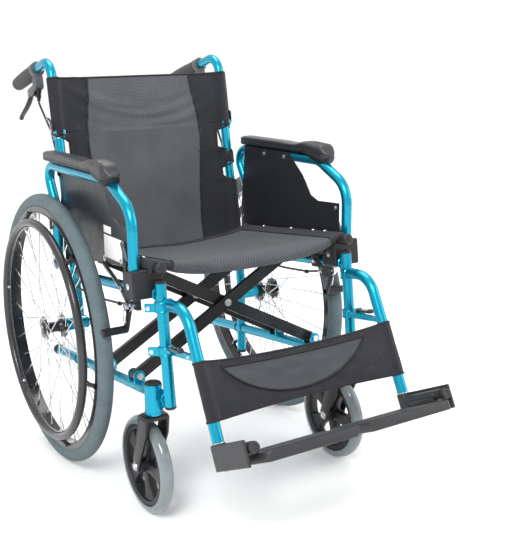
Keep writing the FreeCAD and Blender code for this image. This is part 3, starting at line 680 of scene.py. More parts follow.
def make_back(name, body, t0, t1, node, seed):
    rows = max(24, int((t1 - t0) / 5.5))
    columns = 76
    post = 12.6

    def point(i, j):
        t = t0 + (t1 - t0) * i / rows
        u = 2.0 * j / columns - 1
        edge = back_edge(t)
        x = u * edge
        bow = 0.0
        if t1 > 500:
            bow = 2.5 * (i / rows) ** 3 * (1 - u * u)
        outer = max(0.0, (abs(x) - (HALF - 14)) / 27.0)
        over = post * math.sqrt(max(0.0, 1 - min(1.0, abs(abs(x) - HALF) / 13.2) ** 2)) if outer > 0 else 0.0
        near = max(0.0, min(1.0, (abs(x) - 150) / 55.0))
        belly = -9.0 * (1 - min(1.0, abs(x) / 205) ** 2)
        side_fold = 8.5 * ripple(x * 0.055 + t * 0.004, t * 0.007, seed) * near * (1 - min(1.0, outer * 3))
        soft = 1.8 * ripple(x * 0.010, t * 0.012, seed + 3)
        return leaning(x, belly + over + side_fold + soft, t + bow)

    def skin(i, j):
        t = t0 + (t1 - t0) * (i + 0.5) / rows
        u = abs(2.0 * (j + 0.5) / columns - 1) * back_edge(t)
        return 1 if u < panel_edge(t) else 0

    def flat(i, j):
        t = t0 + (t1 - t0) * i / rows
        return (2.0 * j / columns - 1) * back_edge(t) / 1000, t / 1000

    obj = sheet_mesh(name, rows, columns, point, flat, skin, ("nylon", "net"))
    wide = columns + 1
    held = {i * wide + j for i in range(rows + 1) for j in range(wide)
            if abs(2.0 * j / columns - 1) > 0.86 or (i == rows and t1 < 500) or (i == 0 and t0 > 300)}
    drape(obj, lambda k: k in held, 4.0, gravity=0.2, frames=12)
    co = [v.co.copy() for v in obj.data.vertices]
    thicken(obj, 3.0)
    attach(obj, body)
    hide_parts(node)
    trim = Piece(name + "_piping", body, "piping", "nylon")
    forward = (leaning(0, 1, 0) - leaning(0, 0, 0)).normalized()
    for sign in (-1, 1):
        seam, rim_line = [], []
        for i in range(rows + 1):
            t = t0 + (t1 - t0) * i / rows
            j = columns / 2 * (1 + sign * panel_edge(t) / back_edge(t))
            k = int(j)
            seam.append(co[i * wide + k].lerp(co[i * wide + min(k + 1, columns)], j - k) + forward * 0.0022)
            rim_line.append(co[i * wide + (columns if sign > 0 else 0)])
        trim.tube(seam, 1.9, segments=8)
        trim.tube(rim_line, 2.6, segments=8)
    end = rows if t1 > 500 else 0
    trim.tube([co[end * wide + j] for j in range(wide)], 2.7, segments=8)
    trim.paint(0)
    trim = trim.done()
    for item in (obj, trim):
        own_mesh(item)
    return obj


for low, high, body, node in ((105, 401.4, "frame_R", "back_sling_lower"),
                              (400.2, 525, "back_upper_R", "back_sling_upper")):
    make_back(node + "_cloth", body, low, high, node, 11)
for item in (seat, seat_trim):
    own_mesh(item)


# ---------------------------------------------------------------- calf band

HALF_BAND = HANGER_X + 13.4


def make_band():
    """Sleeved over both hangers, with a crescent of mesh between two rows of piping."""
    rows, columns = 44, 110
    top, low = -168.0, -62.0
    ends = 13.2

    def crescent(x):
        return 0.12 + 0.72 * max(0.0, 1 - abs((x + 12) / 166) ** 2.1) ** 0.85

    def point(i, j):
        u = 2.0 * j / columns - 1
        x = u * HALF_BAND
        v = i / rows
        d = top + (low - top) * v
        curve = (1 - min(1.0, abs(x) / 208) ** 2)
        d += curve * (8.0 * (1 - v) - 6.0 * v)
        out = 12.8
        if abs(x) > HANGER_X - 13:
            out = ends * math.sqrt(max(0.0, 1 - min(1.0, abs(abs(x) - HANGER_X) / 13.4) ** 2))
        dip = -4.0 * curve + 2.4 * ripple(x * 0.03, d * 0.05, 21) * (0.3 + 0.7 * curve)
        return footed(x, out + dip, d)

    def skin(i, j):
        x = (2.0 * (j + 0.5) / columns - 1) * HALF_BAND
        v = (i + 0.5) / rows
        return 1 if 0.12 < v < crescent(x) else 0

    def flat(i, j):
        return (2.0 * j / columns - 1) * HALF_BAND / 1000, i * 0.0041

    band = sheet_mesh("calf_band", rows, columns, point, flat, skin, ("nylon", "seat_net"))
    wide = columns + 1
    held = {i * wide + j for i in range(rows + 1) for j in range(wide) if j < 6 or j > wide - 7}
    drape(band, lambda k: k in held, 5.0, gravity=0.4, frames=12)
    co = [v.co.copy() for v in band.data.vertices]
    thicken(band, 2.6)
    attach(band, "hanger_R")
    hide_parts("calf_strap")
    trim = Piece("calf_band_piping", "hanger_R", "piping", "nylon")

    def on(x, v, lift=2.0):
        j = columns / 2 * (1 + x / HALF_BAND)
        i = v * rows
        a, b = int(j), int(i)
        a2, b2 = min(a + 1, columns), min(b + 1, rows)
        p = co[b * wide + a].lerp(co[b * wide + a2], j - a)
        q = co[b2 * wide + a].lerp(co[b2 * wide + a2], j - a)
        return p.lerp(q, i - b) + FOOT_U * lift / 1000

    loop = [(-178 + 332 * k / 79, 0.12) for k in range(80)]
    for k in range(1, 90):
        x = -12 + 166 * math.cos(math.pi * k / 90)
        loop.append((x, crescent(x)))
    trim.tube([on(x, v) for x, v in loop], 2.2, closed=True, segments=8)
    for v in (0.0, 1.0):
        trim.tube([on(-HALF_BAND + 2 * HALF_BAND * k / 90, v, 0.0) for k in range(91)], 2.3, segments=8)
    trim.paint(0)
    trim = trim.done()
    for item in (band, trim):
        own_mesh(item)


make_band()


# ---------------------------------------------------------------- armrests

def along_curve(table, value):
    """Reads a smooth value from (place, value) pairs."""
    for (a, p), (b, q) in zip(table, table[1:]):
        if value <= b:
            t = max(0.0, min(1.0, (value - a) / (b - a)))
            return p + (q - p) * (3 * t * t - 2 * t ** 3)
    return table[-1][1]


def make_pad(side, sign):
    """Moulded arm pad: flat at the rear, raised and scooped at the front, on a black underbody."""
    tops = [(-308, 690), (-284, 705.2), (-225, 708.0), (-186, 702.0), (30, 702.4), (46, 700)]
    lows = [(-308, 672), (-288, 659.5), (-256, 667.5), (-228, 679.4), (43, 679.6), (46, 681)]
    widths = [(-308, 18.5), (-276, 22.0), (-215, 21.6), (-170, 19.4), (20, 19.4), (46, 17.5)]
    pad = Piece("arm_pad_shell_" + side, "arm_" + side, "pad", "pad_dark")
    stations = [-307.8, -307.2, -306, -303.5, -300.5, -297.5]
    stations += [-294 + 4.0 * k for k in range(84)]
    stations += [41, 43.4, 44.6, 45.0]
    around = 40
    rings = []
    for y in stations:
        top, low, half = (along_curve(table, y) for table in (tops, lows, widths))
        front = max(0.0, min(1.0, (y + 308) / 26.0))
        rear = max(0.0, min(1.0, (45.3 - y) / 5.5))
        pinch = math.sqrt(max(0.02, 1 - (1 - front) ** 2)) * math.sqrt(max(0.02, 1 - (1 - rear) ** 2))
        scoop = 2.4 * math.exp(-((y + 168) / 26.0) ** 2)
        rib = 0.9 * math.sin(y * 0.75) if -290 < y < -222 else 0.0
        middle, tall = (top + low) / 2, (top - low) / 2 * pinch
        ring = []
        for k in range(around):
            a = 2 * math.pi * k / around
            ca, sa = math.cos(a), math.sin(a)
            px = math.copysign(abs(ca) ** 0.55, ca) * half * pinch
            pz = math.copysign(abs(sa) ** 0.55, sa) * tall
            if sa > 0.2:
                pz -= scoop * (1 - (px / 22) ** 2)
                pz += rib * (1 - abs(ca) ** 2)
            lip = 0.9 if abs(sa) < 0.16 else 0.0
            ring.append(pad.bm.verts.new(P(sign * PAD_X + px - math.copysign(lip, ca), y, middle + pz)))
        rings.append(ring)
    for a, b in zip(rings, rings[1:]):
        for k in range(around):
            j = (k + 1) % around
            face = pad.bm.faces.new((a[k], a[j], b[j], b[k]))
            lower = math.sin(2 * math.pi * (k + 0.5) / around) < -0.16
            face.material_index = 1 if lower else 0
    pad.bm.faces.new(rings[0][::-1])
    pad.bm.faces.new(rings[-1])
    obj = pad.done("arm_pad_" + side)


def make_arm(side, sign):
    arm = Piece("arm_fittings_" + side, "arm_" + side, "steel", "label", "gloss")
    out = X * sign
    spots = [(-67, 668), (-150, 668), (-345, 574), (-349, 518), (-323, 513), (-285, 508), (-204, 501),
             (-86, 488), (19, 479), (33, 500)]
    for y, z in spots:
        arm.bolt(P(sign * GUARD_OUT, y, z - 1.5), out, 4.2, 2.2, washer=6.0)
        arm.bolt(P(sign * GUARD_IN, y, z - 1.5), -out, 4.2, 2.2, washer=6.0)
    arm.paint(0)
    if sign < 0:
        for y0, y1, z0, z1 in ((-242, -206, 555, 570), (-292, -206, 504, 551)):
            corners = [P(-245.0, y0, z0), P(-245.0, y1, z0), P(-245.0, y1, z1), P(-245.0, y0, z1)]
            arm.prism(corners, X * -0.35 / 1000, 0.1)
    arm.paint(1)
    arm.lathe(P(sign * 247.4, 30, 445), -out, [(0, 15), (1.2, 15), (1.6, 13)], 28)
    arm.paint(2)
    arm.done()


def make_latch(side, sign):
    """Press lever behind the front arm socket, with a ribbed thumb end."""
    latch = Piece("arm_latch_lever_" + side, "arm_latch_" + side, "gloss", "steel")
    x0, x1 = sorted((sign * 251.2, sign * 260.8))
    side_view = [(-351, 516), (-350, 511), (-344.5, 509.8), (-338, 512), (-333, 523), (-326, 535),
                 (-317.5, 549),
                 (-317, 554), (-322, 556.4), (-329, 553), (-336, 542), (-345, 528)]
    latch.prism([P(x0, y, z) for y, z in side_view], X * (x1 - x0) / 1000, 1.6, 3)
    for k in range(4):
        y, z = -331.5 + 3.1 * k, 548.5 - 4.9 * (3 - k) + 4.0
        latch.tube([P(x0 + 1, y - 4.2, z - 1), P(x1 - 1, y - 4.2, z - 1)], 1.0, segments=6)
    latch.paint(0)
    latch.bolt(P(x0, -344, 517), -X, 3.4, 1.6)
    latch.bolt(P(x1, -344, 517), X, 3.4, 1.6)
    latch.paint(1)
    latch.done("arm_latch_" + side)


# ---------------------------------------------------------------- push handles

def make_handle(side, sign):
    place, body = gripped(sign * HALF, 0, 0), "back_upper_" + side
    profile = [(18, 11.2), (18, 16.6), (18.8, 17.4), (21.4, 17.4), (22.6, 16.6), (24, 15.2)]
    for k in range(24):
        along = 27 + k * 4.6
        radius = 15.3 + 1.5 * math.sin(math.pi * k / 27.0)
        profile += [(along, radius), (along + 0.7, radius + 0.75), (along + 2.9, radius + 0.75),
                    (along + 3.6, radius)]
    profile += [(138.5, 15.6), (140, 15.9)]
    grip = Piece("grip_sleeve_" + side, body, "grip", "black")
    grip.lathe(place, GRIP_AXIS, profile, 44)
    grip.paint(0)
    grip.lathe(place, GRIP_AXIS, [(139.6, 15), (140, 16.3), (146, 16.4), (149.5, 15.2), (151.4, 12.2),
                                  (152, 7), (151.2, 5)], 44)
    grip.paint(1)
    grip.done("grip_" + side)

    housing = Piece("lever_body_" + side, body, "casting", "black", "steel", "cable")
    housing.lathe(place, GRIP_AXIS, [(-4, 11.2), (-4, 16.6), (-3, 17.5), (13, 17.5), (14, 16.6),
                                     (14, 11.2)], 44)
    side_view = [(-3, 12), (-4, 30), (-2, 42), (4, 47), (14, 47), (24, 53.6), (62, 53.6), (66, 50),
                 (66, 40), (58, 35),
                 (22, 33), (18, 26), (14, 14)]
    for x0, x1 in ((-10, -7.1), (7.1, 10)):
        housing.prism([gripped(sign * HALF + x0, g, n) for g, n in side_view], X * (x1 - x0) / 1000, 0.8)
    core = [(-3, 13), (-4, 30), (-2, 42), (4, 46), (13, 46), (19, 33), (16, 22), (12, 14)]
    housing.prism([gripped(sign * HALF - 7.4, g, n) for g, n in core], X * 14.8 / 1000, 0.4)
    housing.paint(0)
    top, end = gripped(sign * HALF, 8, 44), P(sign * HALF, 201, GRIP_Z - 76)
    stem = end - top
    reach = stem.length * 1000
    ribs = [(2, 4.2), (2, 6.0)]
    for k in range(6):
        at = 6 + k * 2.6
        ribs += [(at, 6.0), (at + 0.5, 5.3), (at + 1.4, 5.3), (at + 1.9, 6.0)]
    ribs += [(reach * 0.72, 6.0), (reach * 0.74, 4.4), (reach - 1, 4.2), (reach, 3.4)]
    housing.lathe(top, stem, ribs, 24)
    housing.paint(1)
    for x in (-10, 10):
        housing.bolt(gripped(sign * HALF + x, 58, 44), X * (1 if x > 0 else -1), 4.4, 1.8)
    housing.bolt(gripped(sign * HALF + 14.5, 5, 9.2), X, 3.0, 1.6)
    housing.paint(2)
    housing.done("lever_housing_" + side)

    blade = Piece("lever_blade_" + side, "att_lever_" + side, "black", "steel")
    path = smooth_path([gripped(sign * HALF, g, n) for g, n in
                        ((52, 42), (62, 46), (80, 56), (104, 66), (130, 73), (154, 79), (166, 86))], 6)
    count = len(path)
    radii = [4.2 + 1.2 * math.sin(math.pi * k / (count - 1)) for k in range(count - 1)] + [3.2]
    blade.tube(path, [r * 1.25 for r in radii], segments=16, flat=0.62, normal=X)
    blade.lathe(gripped(sign * HALF - 6.5, 58, 44), X, [(0, 6.6), (0.6, 7.6), (12.4, 7.6), (13, 6.6)], 28)
    blade.paint(0)
    blade.lathe(gripped(sign * HALF - 6.9, 58, 44), X, [(0, 2.8), (13.8, 2.8)], 18)
    blade.paint(1)
    blade.done("att_lever_" + side)

    hinge = Piece("half_fold_catch_" + side, body, "gloss", "steel")
    x0, x1 = sorted((sign * (HALF + 14.6), sign * (HALF + 17.6)))
    outline = [(-6, -3), (-9, 8), (-6, 22), (4, 30), (10, 26), (9, 10), (7, -2), (0, -6)]
    hinge.prism([leaning(x0, f, FOLD_T + t) for f, t in outline], X * (x1 - x0) / 1000, 1.4, 3)
    hinge.tube(smooth_path([leaning(sign * (HALF + 16), 4, FOLD_T + 24),
                            leaning(sign * (HALF + 16), -10, FOLD_T + 34),
                            leaning(sign * (HALF + 16), -22, FOLD_T + 36)], 6), 3.2, segments=12, flat=0.9,
                            normal=X)
    hinge.paint(0)
    hinge.bolt(leaning(sign * (HALF + 17.4), 0, FOLD_T + 6), X * sign, 4.0, 1.6)
    hinge.paint(1)
    hinge.done()

    clips = Piece("cable_clip_" + side, "frame_" + side, "black", "steel")
    for t in (172, 322):
        at = leaning(sign * HALF, 0, t)
        clips.lathe(at - LEAN_UP * 0.004, LEAN_UP, [(0, 11.2), (0, 12.6), (8, 12.6), (8, 11.2)], 28)
    clips.lathe(P(sign * 236.0, -250, 412) + Vector((0, -0.004, 0)), Vector((0, 1, -0.12)),
                [(0, 2.6), (0, 4.4), (8, 4.4), (8, 2.6)], 20)
    clips.paint(0)
    tail = (P(0, -315.5, 426.5) - P(0, -265, 415.3)).normalized()
    clips.lathe(P(sign * 233.5, -315.1, 426.4) - tail * 0.016, tail,
                [(0, 2.6), (0, 3.6), (10, 3.6), (10, 4.6), (15.6, 4.6)], 18)
    clips.paint(1)
    clips.done()


# ---------------------------------------------------------------- rear wheels

def make_wheel(side, sign):
    body = "wheel_" + side
    mid = sign * WHEEL_X
    hub = Piece("hub_" + side, body, "rim", "steel", "black")
    inner = sign * 264
    axis = X * sign
    profile = [(0, 8.2), (0, 14), (1, 15.4), (2.6, 17), (2.9, 26), (3.4, 27), (5.7, 27), (6.2, 26), (7.5, 17),
               (12, 13), (26, 11.6), (40, 13), (45.6, 17), (46.6, 26), (47.1, 27), (49.4, 27), (49.9, 26),
               (50.6, 16), (52.5, 14), (53.4, 12), (53.4, 8.2)]
    hub.lathe(P(inner, 0, AXLE_Z), axis, profile, 48)
    hub.paint(0)
    for k in range(18):
        for at, facing in ((2.8, -1), (50.0, 1)):
            spot = wheeled(inner + sign * at, 22.4, k * 20 + (0 if facing > 0 else 10))
            hub.lathe(spot, axis * facing, [(0, 1.9), (0.8, 1.7), (1.1, 0.8)], 8)
    hub.lathe(P(sign * 318.4, 0, AXLE_Z), axis, [(0, 8), (0, 11), (3.5, 11), (5.0, 9.4), (5.4, 5)], 28)
    hub.paint(1)
    hub.done()

    wires = Piece("spoke_set_" + side, body, "spoke", "steel")
    for i in range(SPOKES):
        outside = 1 if i % 2 == 0 else -1
        lead = 1 if (i // 2) % 2 else -1
        angle = i * 360.0 / SPOKES
        flange = mid + sign * outside * 22 + sign * 0.5
        foot = wheeled(flange - lead * sign * outside * 2.0, 24, angle + lead * 62)
        head = wheeled(mid + sign * outside * 2.5, 261.4, angle)
        wires.tube([foot, foot.lerp(head, 0.5), head], 1.15, segments=7)
        run = (head - foot).normalized()
        wires.tube([head - run * 0.013, head - run * 0.004, head + run * 0.001], [1.5, 2.3, 2.3], segments=8)
    wires.paint(0)
    wires.done("spokes_" + side)

    extra = Piece("handrim_screws_" + side, body, "steel", "black", "rim")
    for k in range(6):
        angle = k * 60 + 12
        a, b = wheeled(sign * 302.5, 267, angle), wheeled(sign * HANDRIM_X, HANDRIM_R, angle)
        run = (b - a).normalized()
        extra.lathe(a, run, [(0, 6.6), (1.5, 6.6), (3, 5.0), (14, 4.2), (17, 4.8), (20, 6.0)], 20)
        extra.paint(1)
        inward = (P(sign * HANDRIM_X, 0, AXLE_Z) - b).normalized()
        extra.bolt(b + inward * 0.0088 - X * sign * 0.002, inward - X * sign * 0.25, 3.8, 2.6)
        extra.paint(0)
    for x in (-12.2, 12.2):
        ring = [wheeled(mid + x, 264.5, k * 4) for k in range(90)]
        extra.tube(ring, 1.5, closed=True, segments=6)
    valve = wheeled(mid, 262, 95)
    extra.lathe(valve, (P(mid, 0, AXLE_Z) - valve),
                [(0, 3.2), (2, 3.2), (3, 2.6), (22, 2.6), (22.5, 3.3), (30, 3.3), (31, 2.2)], 14)
    extra.paint(2)
    extra.done()


# ---------------------------------------------------------------- wheel locks

def make_lock(side, sign):
    y, z = LOCK_Y, LOCK_Z
    body = "wheel_lock_" + side
    lock = Piece("wheel_lock_parts_" + side, body, "black_coat", "steel", "gloss")
    reach = 305 + 8 + 0.4
    angle = math.asin(69.0 / reach)
    sy, sz = -reach * math.cos(angle), AXLE_Z + 69.0
    x0, x1 = sorted((sign * 246, sign * 252))

    def bar(a, b, width, lo, hi, bevel=0.9):
        along = Vector((0, b[0] - a[0], b[1] - a[1])).normalized()
        across = Vector((0, -along.z, along.y)) * width / 2000
        start, stop = P(lo, *a), P(lo, *b)
        nose = along * width * 0.35 / 1000
        outline = [start - across, start - nose, start + across, stop + across, stop + nose, stop - across]
        lock.prism(outline, X * (hi - lo) / 1000, bevel)

    bar((y, z), (sy, sz), 16, x0, x1)
    bar((y, z), (y + 34, z + 26), 14, x0, x1)
    lock.paint(0)
    handle = ((26, 20), (50, 33), (80, 46), (104, 55), (122, 62))
    grip_path = smooth_path([P(sign * 249, y + g, z + h) for g, h in handle], 6)
    count = len(grip_path)
    radii = [5.0 + 1.4 * math.sin(math.pi * min(1, k / (count - 1) * 1.05) ** 1.6) for k in range(count)]
    lock.tube(grip_path, radii, segments=16, flat=0.55, normal=Vector((0, -0.44, 0.9)))
    lock.paint(2)
    ribs = [(0, 6.2), (1, 7.6)]
    for k in range(9):
        at = 4 + k * 5.4
        ribs += [(at, 8.0), (at + 3.6, 8.0), (at + 3.9, 7.2), (at + 5.0, 7.2)]
    ribs += [(54.6, 7.8), (56, 6.4)]
    lock.lathe(P(sign * 246, sy, sz), X * sign, ribs, 28)
    lock.paint(0)
    lock.lathe(P(sign * 246.2, y, z), X * sign, [(0, 5.2), (0, 11.6), (5.8, 11.6), (5.8, 5.2)], 28)
    lock.bolt(P(sign * 252, sy, sz), X * sign, 5.4, 0.6)
    lock.bolt(P(sign * 252, y + 34, z + 26), X * sign, 4.2, 2.2, washer=6)
    coil = []
    a, b = P(sign * 256.5, y + 6, z - 8), P(sign * 256.5, sy - 10, sz + 18)
    run = b - a
    side_a = run.orthogonal().normalized()
    side_b = run.normalized().cross(side_a)
    for k in range(19 * 10 + 1):
        t = k / 190.0
        turn = 2 * math.pi * 19 * t
        coil.append(a + run * t + (side_a * math.cos(turn) + side_b * math.sin(turn)) * 0.0031)
    lock.tube(coil, 0.65, segments=5)
    lock.tube([a - run * 0.12, a + side_a * 0.0031], 0.6, segments=5)
    lock.tube([b + side_a * 0.0031, b + run * 0.14], 0.6, segments=5)
    lock.paint(1)
    lock.done("wheel_lock_" + side)

    clamp = Piece("lock_clamp_bolts_" + side, "frame_" + side, "steel", "black")
    clamp.hexagon(tilted(sign * 208, -332, 112), -X * sign, 5.6, 4.0)
    clamp.bolt(tilted(sign * 236, -332, 116), X * sign, 4.4, 2.4, washer=6.2)
    clamp.hexagon(P(sign * 258, y, z), X * sign, 6.4, 3.6)
    clamp.paint(0)
    clamp.done()


# ---------------------------------------------------------------- casters

def make_caster(side, sign):
    x0, fork_body, wheel_body = sign * HEAD_X, "caster_fork_" + side, "caster_wheel_" + side
    fork = Piece("fork_casting_" + side, fork_body, "black_coat", "steel", "black")
    top = HEAD_BOTTOM - 1.6
    crown = [(-17, -24), (-12, -26), (12, -26), (19, -20), (20, 0), (19, 20), (12, 26), (-12, 26),
             (-17, 24), (-18, 0)]
    fork.prism([P(x0 + x, HEAD_Y + y, top - 9) for y, x in crown], Vector((0, 0, 0.009)), 2.2, 3)
    for x in (-26, 20.2):
        leg = [(HEAD_Y - 17, top - 3), (HEAD_Y + 19, top - 3), (HEAD_Y + 24, top - 28),
               (CASTER_Y + 13.5, CASTER_Z + 8),
               (CASTER_Y + 11, CASTER_Z - 8), (CASTER_Y, CASTER_Z - 13), (CASTER_Y - 11, CASTER_Z - 8),
               (CASTER_Y - 13.5, CASTER_Z + 6), (HEAD_Y - 12, top - 40)]
        fork.prism([P(x0 + x, y, z) for y, z in leg], X * 5.8 / 1000, 1.4, 3)
    fork.paint(0)
    fork.lathe(P(x0, HEAD_Y, top), Vector((0, 0, 1)), [(0, 12), (1.1, 12), (1.1, 6.4), (41.6, 6.4)], 24)
    fork.lathe(P(x0, HEAD_Y, HEAD_BOTTOM + 9), Vector((0, 0, 1)), [(0, 6.4), (0, 11), (10, 11), (10, 6.4)],
               24)
    fork.lathe(P(x0 - 26, CASTER_Y, CASTER_Z), X, [(0, 5), (52, 5)], 18)
    for x, facing in ((-26, -1), (26, 1)):
        fork.lathe(P(x0 + x, CASTER_Y, CASTER_Z), X * facing, [(0, 8.6), (0.9, 8.6), (1.0, 7)], 24)
        fork.hexagon(P(x0 + x + facing * 0.9, CASTER_Y, CASTER_Z), X * facing, 7.2, 3.0)
    fork.paint(1)
    fork.done("caster_fork_" + side)

    core = Piece("caster_centre_" + side, wheel_body, "black", "rim")
    place = P(x0 - 12.4, CASTER_Y, CASTER_Z)
    core.lathe(place, X, [(0.4, 73.4), (0, 75), (0, 82), (1.4, 84.2), (23.4, 84.2), (24.8, 82), (24.8, 75),
                          (24.4, 73.4),
                          (21, 72), (3.8, 72)], 60, closed=True)
    core.lathe(P(x0 - 19, CASTER_Y, CASTER_Z), X,
               [(0, 5.1), (0, 12.4), (1, 13.6), (8, 14.4), (30, 14.4), (37, 13.6), (38, 12.4),
                                                   (38, 5.1)], 36)
    core.paint(0)
    for k in range(5):
        turn = math.radians(k * 72 + 18)
        radial = Vector((0, -math.sin(turn), math.cos(turn)))
        across = Vector((0, math.cos(turn), math.sin(turn)))
        centre = P(x0, CASTER_Y, CASTER_Z)
        outline = []
        for r, w in ((11, 11), (30, 10.5), (50, 13.0), (64, 19), (73.6, 30)):
            outline.append(centre + radial * r / 1000 + across * w / 1000)
        for r, w in ((73.6, 30), (64, 19), (50, 13.0), (30, 10.5), (11, 11)):
            outline.append(centre + radial * r / 1000 - across * w / 1000)
        core.prism([p - X * 0.0085 for p in outline], X * 0.017, 1.6, 2)
    core.paint(0)
    core.done("caster_core_" + side)

    head = Piece("head_tube_caps_" + side, "frame_" + side, "black", "blue", "steel")
    up = Vector((0, 0, 1))
    head.lathe(P(x0, HEAD_Y, 281), up, [(0, 12.8), (2.6, 12.8), (2.9, 15.8), (4.4, 16.4), (5.6, 15.0),
                                        (5.2, 10), (3.6, 8.8),
                                        (3.2, 2)], 36)
    head.lathe(P(x0, HEAD_Y, HEAD_BOTTOM - 0.8), up, [(0, 9), (0, 14.6), (1.2, 14.6), (1.2, 9)], 32)
    head.paint(0)
    for z in (HEAD_BOTTOM + 2.5, 279):
        head.lathe(P(x0, HEAD_Y, z), up, [(0, 17.0), (0.4, 17.9), (2.6, 17.9), (3.0, 17.0)], 40)
    head.paint(1)
    head.done()


# ---------------------------------------------------------------- frame fittings

def bead(piece, centre, axis, radius, lift=1.3):
    """A weld bead: an uneven ring round a tube."""
    axis = axis.normalized()
    side = axis.orthogonal().normalized()
    other = axis.cross(side)
    ring = []
    for k in range(64):
        a = 2 * math.pi * k / 64
        wave = 1 + 0.02 * math.sin(a * 18)
        ring.append(centre + (side * math.cos(a) + other * math.sin(a)) * radius * wave / 1000)
    piece.tube(ring, lift + 0.5, closed=True, segments=8)


def make_frame_fittings(side, sign):
    trim = Piece("frame_welds_" + side, "frame_" + side, "blue", "black", "steel")
    x = sign * HALF
    for s, h in ((POST_S + 12.5, LOWER_H), (POST_S + 12.5, UPPER_H), (6, UPPER_H), (38, LOWER_H),
                 (12, LOWER_H)):
        bead(trim, tilted(x, s, h), ALONG, 11.6)
    trim.lathe(P(sign * 209, 0, AXLE_Z), X * sign, [(0, 8.2), (0, 15.2), (3, 15.2), (3, 14.2)], 32)
    trim.paint(0)
    post_top = tilted(x, POST_S, 134.4)
    trim.lathe(post_top, SQUARE, [(-1, 10.8), (0, 11.8), (3, 11.8), (6, 9), (7.2, 4)], 30)
    trim.lathe(tilted(x, POST_S, -105), -SQUARE, [(-1, 10.8), (0, 11.8), (3, 11.4), (5.5, 8.6), (6.4, 3)], 30)
    trim.paint(1)
    for near, far, s, h in ((206, 271, -386, 130), (207, 236, -55, 112)):
        trim.bolt(tilted(sign * near, s, h), -X * sign, 4.4, 2.4, washer=6.4)
        trim.bolt(tilted(sign * far, s, h), X * sign, 4.4, 2.4, washer=6.4)
    trim.hexagon(P(sign * 203, 0, AXLE_Z), -X * sign, 10.5, 5.0)
    trim.paint(2)
    trim.done()


def make_rail_caps():
    for name, body, sign in (("A", "brace_A", 1), ("B", "brace_B", -1)):
        caps = Piece("seat_rail_caps_" + name, body, "black", "steel")
        front = tilted(sign * HALF, -433, SEAT_H)
        caps.lathe(front, -ALONG, [(-12, 11.3), (-12, 11.9), (0, 12.3), (4, 11.9), (6.6, 9.6), (7.6, 5)], 34)
        caps.lathe(tilted(sign * HALF, -24, SEAT_H), ALONG,
                   [(-8, 11.3), (-8, 12.0), (2, 11.9), (4.4, 9.6), (5.2, 5)], 34)
        caps.paint(0)
        caps.done()


def make_hanger_fittings(side, sign):
    fit = Piece("hanger_fittings_" + side, "hanger_" + side, "steel", "blue")
    x = sign * HALF
    for h, tall in ((79, 21.5), (-5, 18)):
        a = tilted(x, POST_S, h)
        for t in (2.4, tall - 2.4):
            trim_at = a + SQUARE * t / 1000
            fit_ring = []
            for k in range(48):
                c, s = math.cos(2 * math.pi * k / 48), math.sin(2 * math.pi * k / 48)
                fit_ring.append(trim_at + (X * c + ALONG * s) * 0.0146)
            fit.tube(fit_ring, 0.9, closed=True, segments=6)
    bead(fit, tilted(sign * HANGER_X, POST_S - 15, HANGER_H), ALONG, 11.7)
    fit.paint(1)
    turn = Matrix.Rotation(math.radians(-40 * sign), 4, SQUARE)
    for h in (79, -5):
        a = tilted(x, POST_S, h)
        for facing in (-1, 1):
            edge = tilted(x + sign * (9 if facing > 0 else 2), POST_S + 25, h + 9)
            at = a + turn @ (edge - a)
            fit.hexagon(at, (turn @ (X * sign * facing)), 5.0, 3.2)
    fit.paint(0)
    fit.bolt(tilted(sign * (HANGER_X + 4), -508, 5), X * sign, 3.6, 2.2)
    fit.paint(0)
    fit.done()

    latch = Piece("hanger_latch_lever_" + side, "hanger_latch_" + side, "gloss", "steel")
    a, b = (tilted(sign * (HANGER_X + 10), POST_S - reach, 11.6) for reach in (30, 66))
    run = (b - a).normalized()
    outline = []
    for k in range(9):
        t = math.pi * (k / 8.0 + 0.5)
        outline.append(a - run * 0.0088 * abs(math.cos(t)) + X * 0.0088 * math.sin(t))
    outline += [b + run * 0.002 - X * 0.0068, b + run * 0.006 - X * 0.004, b + run * 0.006 + X * 0.004,
                b + run * 0.002 + X * 0.0068]
    latch.prism(outline, SQUARE * 0.0048, 1.0)
    latch.lathe(b, SQUARE, [(0.5, 6.6), (7.4, 6.2), (8.5, 4.6)], 22)
    latch.paint(0)
    latch.bolt(a + SQUARE * 0.0055, SQUARE, 4.8, 2.0)
    latch.paint(1)
    latch.done("hanger_latch_" + side)


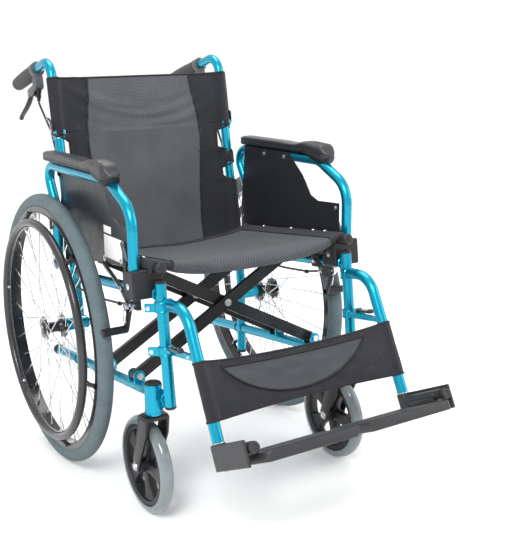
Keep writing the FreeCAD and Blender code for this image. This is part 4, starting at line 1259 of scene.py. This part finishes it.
def make_foot(side, sign):
    x = sign * HANGER_X
    slide = Piece("foot_tube_end_" + side, "foot_slide_" + side, "steel", "foot")
    slide.hexagon(footed(x, 0, 24), FOOT_D, 6.0, 4.6)
    slide.lathe(footed(x, 0, 22), FOOT_D, [(0, 5.4), (0, 9.4), (2.2, 9.4), (2.2, 5.4)], 28)
    slide.bolt(footed(x, -13.4, 6), -FOOT_U, 4.0, 2.2)
    slide.paint(0)
    slide.lathe(footed(x, 0, -22.8), FOOT_D, [(0, 9.6), (0, 12.2), (1.0, 12.8), (1.4, 9.8)], 32)
    slide.paint(1)
    slide.done()

    pin = Piece("foot_pin_knob_" + side, "foot_pin_" + side, "foot", "steel")
    place = footed(x, 112.6, FOOT_PIN_D)
    pin.lathe(place, FOOT_U, [(0, 9.0), (0.8, 10.2), (8.4, 10.5), (10.4, 9.6), (11.4, 7.4), (11.0, 5.6),
                              (9.6, 4.8)], 40)
    for k in range(20):
        a = 2 * math.pi * k / 20
        out = X * math.cos(a) + FOOT_D * math.sin(a)
        pin.tube([place + out * 0.0101 + FOOT_U * 0.0015, place + out * 0.0102 + FOOT_U * 0.008], 0.7,
                 segments=6)
    pin.paint(0)
    pin.lathe(footed(x, 13.8, FOOT_PIN_D), FOOT_U, [(0, 3.6), (0.8, 4.9), (98.9, 4.9)], 24)
    pin.paint(1)
    pin.done("foot_pin_" + side)

    plate = Piece("footplate_shell_" + side, "footplate_" + side, "foot")
    inner, outer, rear, front = FOOT_INNER, HANGER_X - 9, 16.0, 140.0
    outline = []
    for cu, cx, r, start in ((front, outer, 12, 0), (front, inner, 5, 90), (rear, inner, 5, 180),
                             (rear, outer, 9, 270)):
        mu = cu - r if cu == front else cu + r
        mx = cx - r if cx == outer else cx + r
        for k in range(6):
            a = math.radians(start + 90 * k / 5)
            outline.append((mx + r * math.cos(a), mu + r * math.sin(a)))
    tiers = []
    for d, shift in ((5.0, 0.0), (23.0, 6.6)):
        tiers.append([plate.bm.verts.new(footed(sign * (px + (shift if px < 60 else 0)), pu, d))
                      for px, pu in outline])
    low, high = tiers
    faces = [plate.bm.faces.new(low), plate.bm.faces.new(high[::-1])]
    for k in range(len(low)):
        j = (k + 1) % len(low)
        faces.append(plate.bm.faces.new((low[k], high[k], high[j], low[j])))
    bmesh.ops.recalc_face_normals(plate.bm, faces=faces)
    rims = [e for e in plate.bm.edges if len(e.link_faces) == 2 and e.calc_face_angle(0) > 0.9]
    bmesh.ops.bevel(plate.bm, geom=rims, offset=0.0022, segments=3, profile=0.5, affect="EDGES",
                    clamp_overlap=True)
    for k in range(11):
        u = rear + 14 + k * 9.6
        plate.tube([footed(sign * (inner + 16), u, 5.2), footed(sign * (outer - 24), u, 5.2)], 1.5,
                   segments=8)
    for d0, d1, u0 in ((3.6, 5.4, front - 9), (3.6, 5.4, rear + 4)):
        plate.box(footed, *sorted((sign * (inner + 12), sign * (outer - 18))), u0, u0 + 5, d0, d1, 0.7)
    plate.box(footed, *sorted((sign * (HANGER_X - 18), sign * (HANGER_X - 3))), 31, 96, -3.8, 8, 1.2)
    plate.lathe(footed(x, 30.6, FOOT_PIN_D), FOOT_U,
                [(0, 5.4), (0, 10.2), (0.8, 11), (65, 11), (65.8, 10.2), (65.8, 5.4)], 32)
    plate.paint(0)
    obj = plate.done("footplate_" + side)


for side, sign in SIDES:
    make_pad(side, sign)
    make_arm(side, sign)
    make_latch(side, sign)
    make_handle(side, sign)
    make_wheel(side, sign)
    make_lock(side, sign)
    make_caster(side, sign)
    make_frame_fittings(side, sign)
    make_hanger_fittings(side, sign)
    make_foot(side, sign)
make_rail_caps()
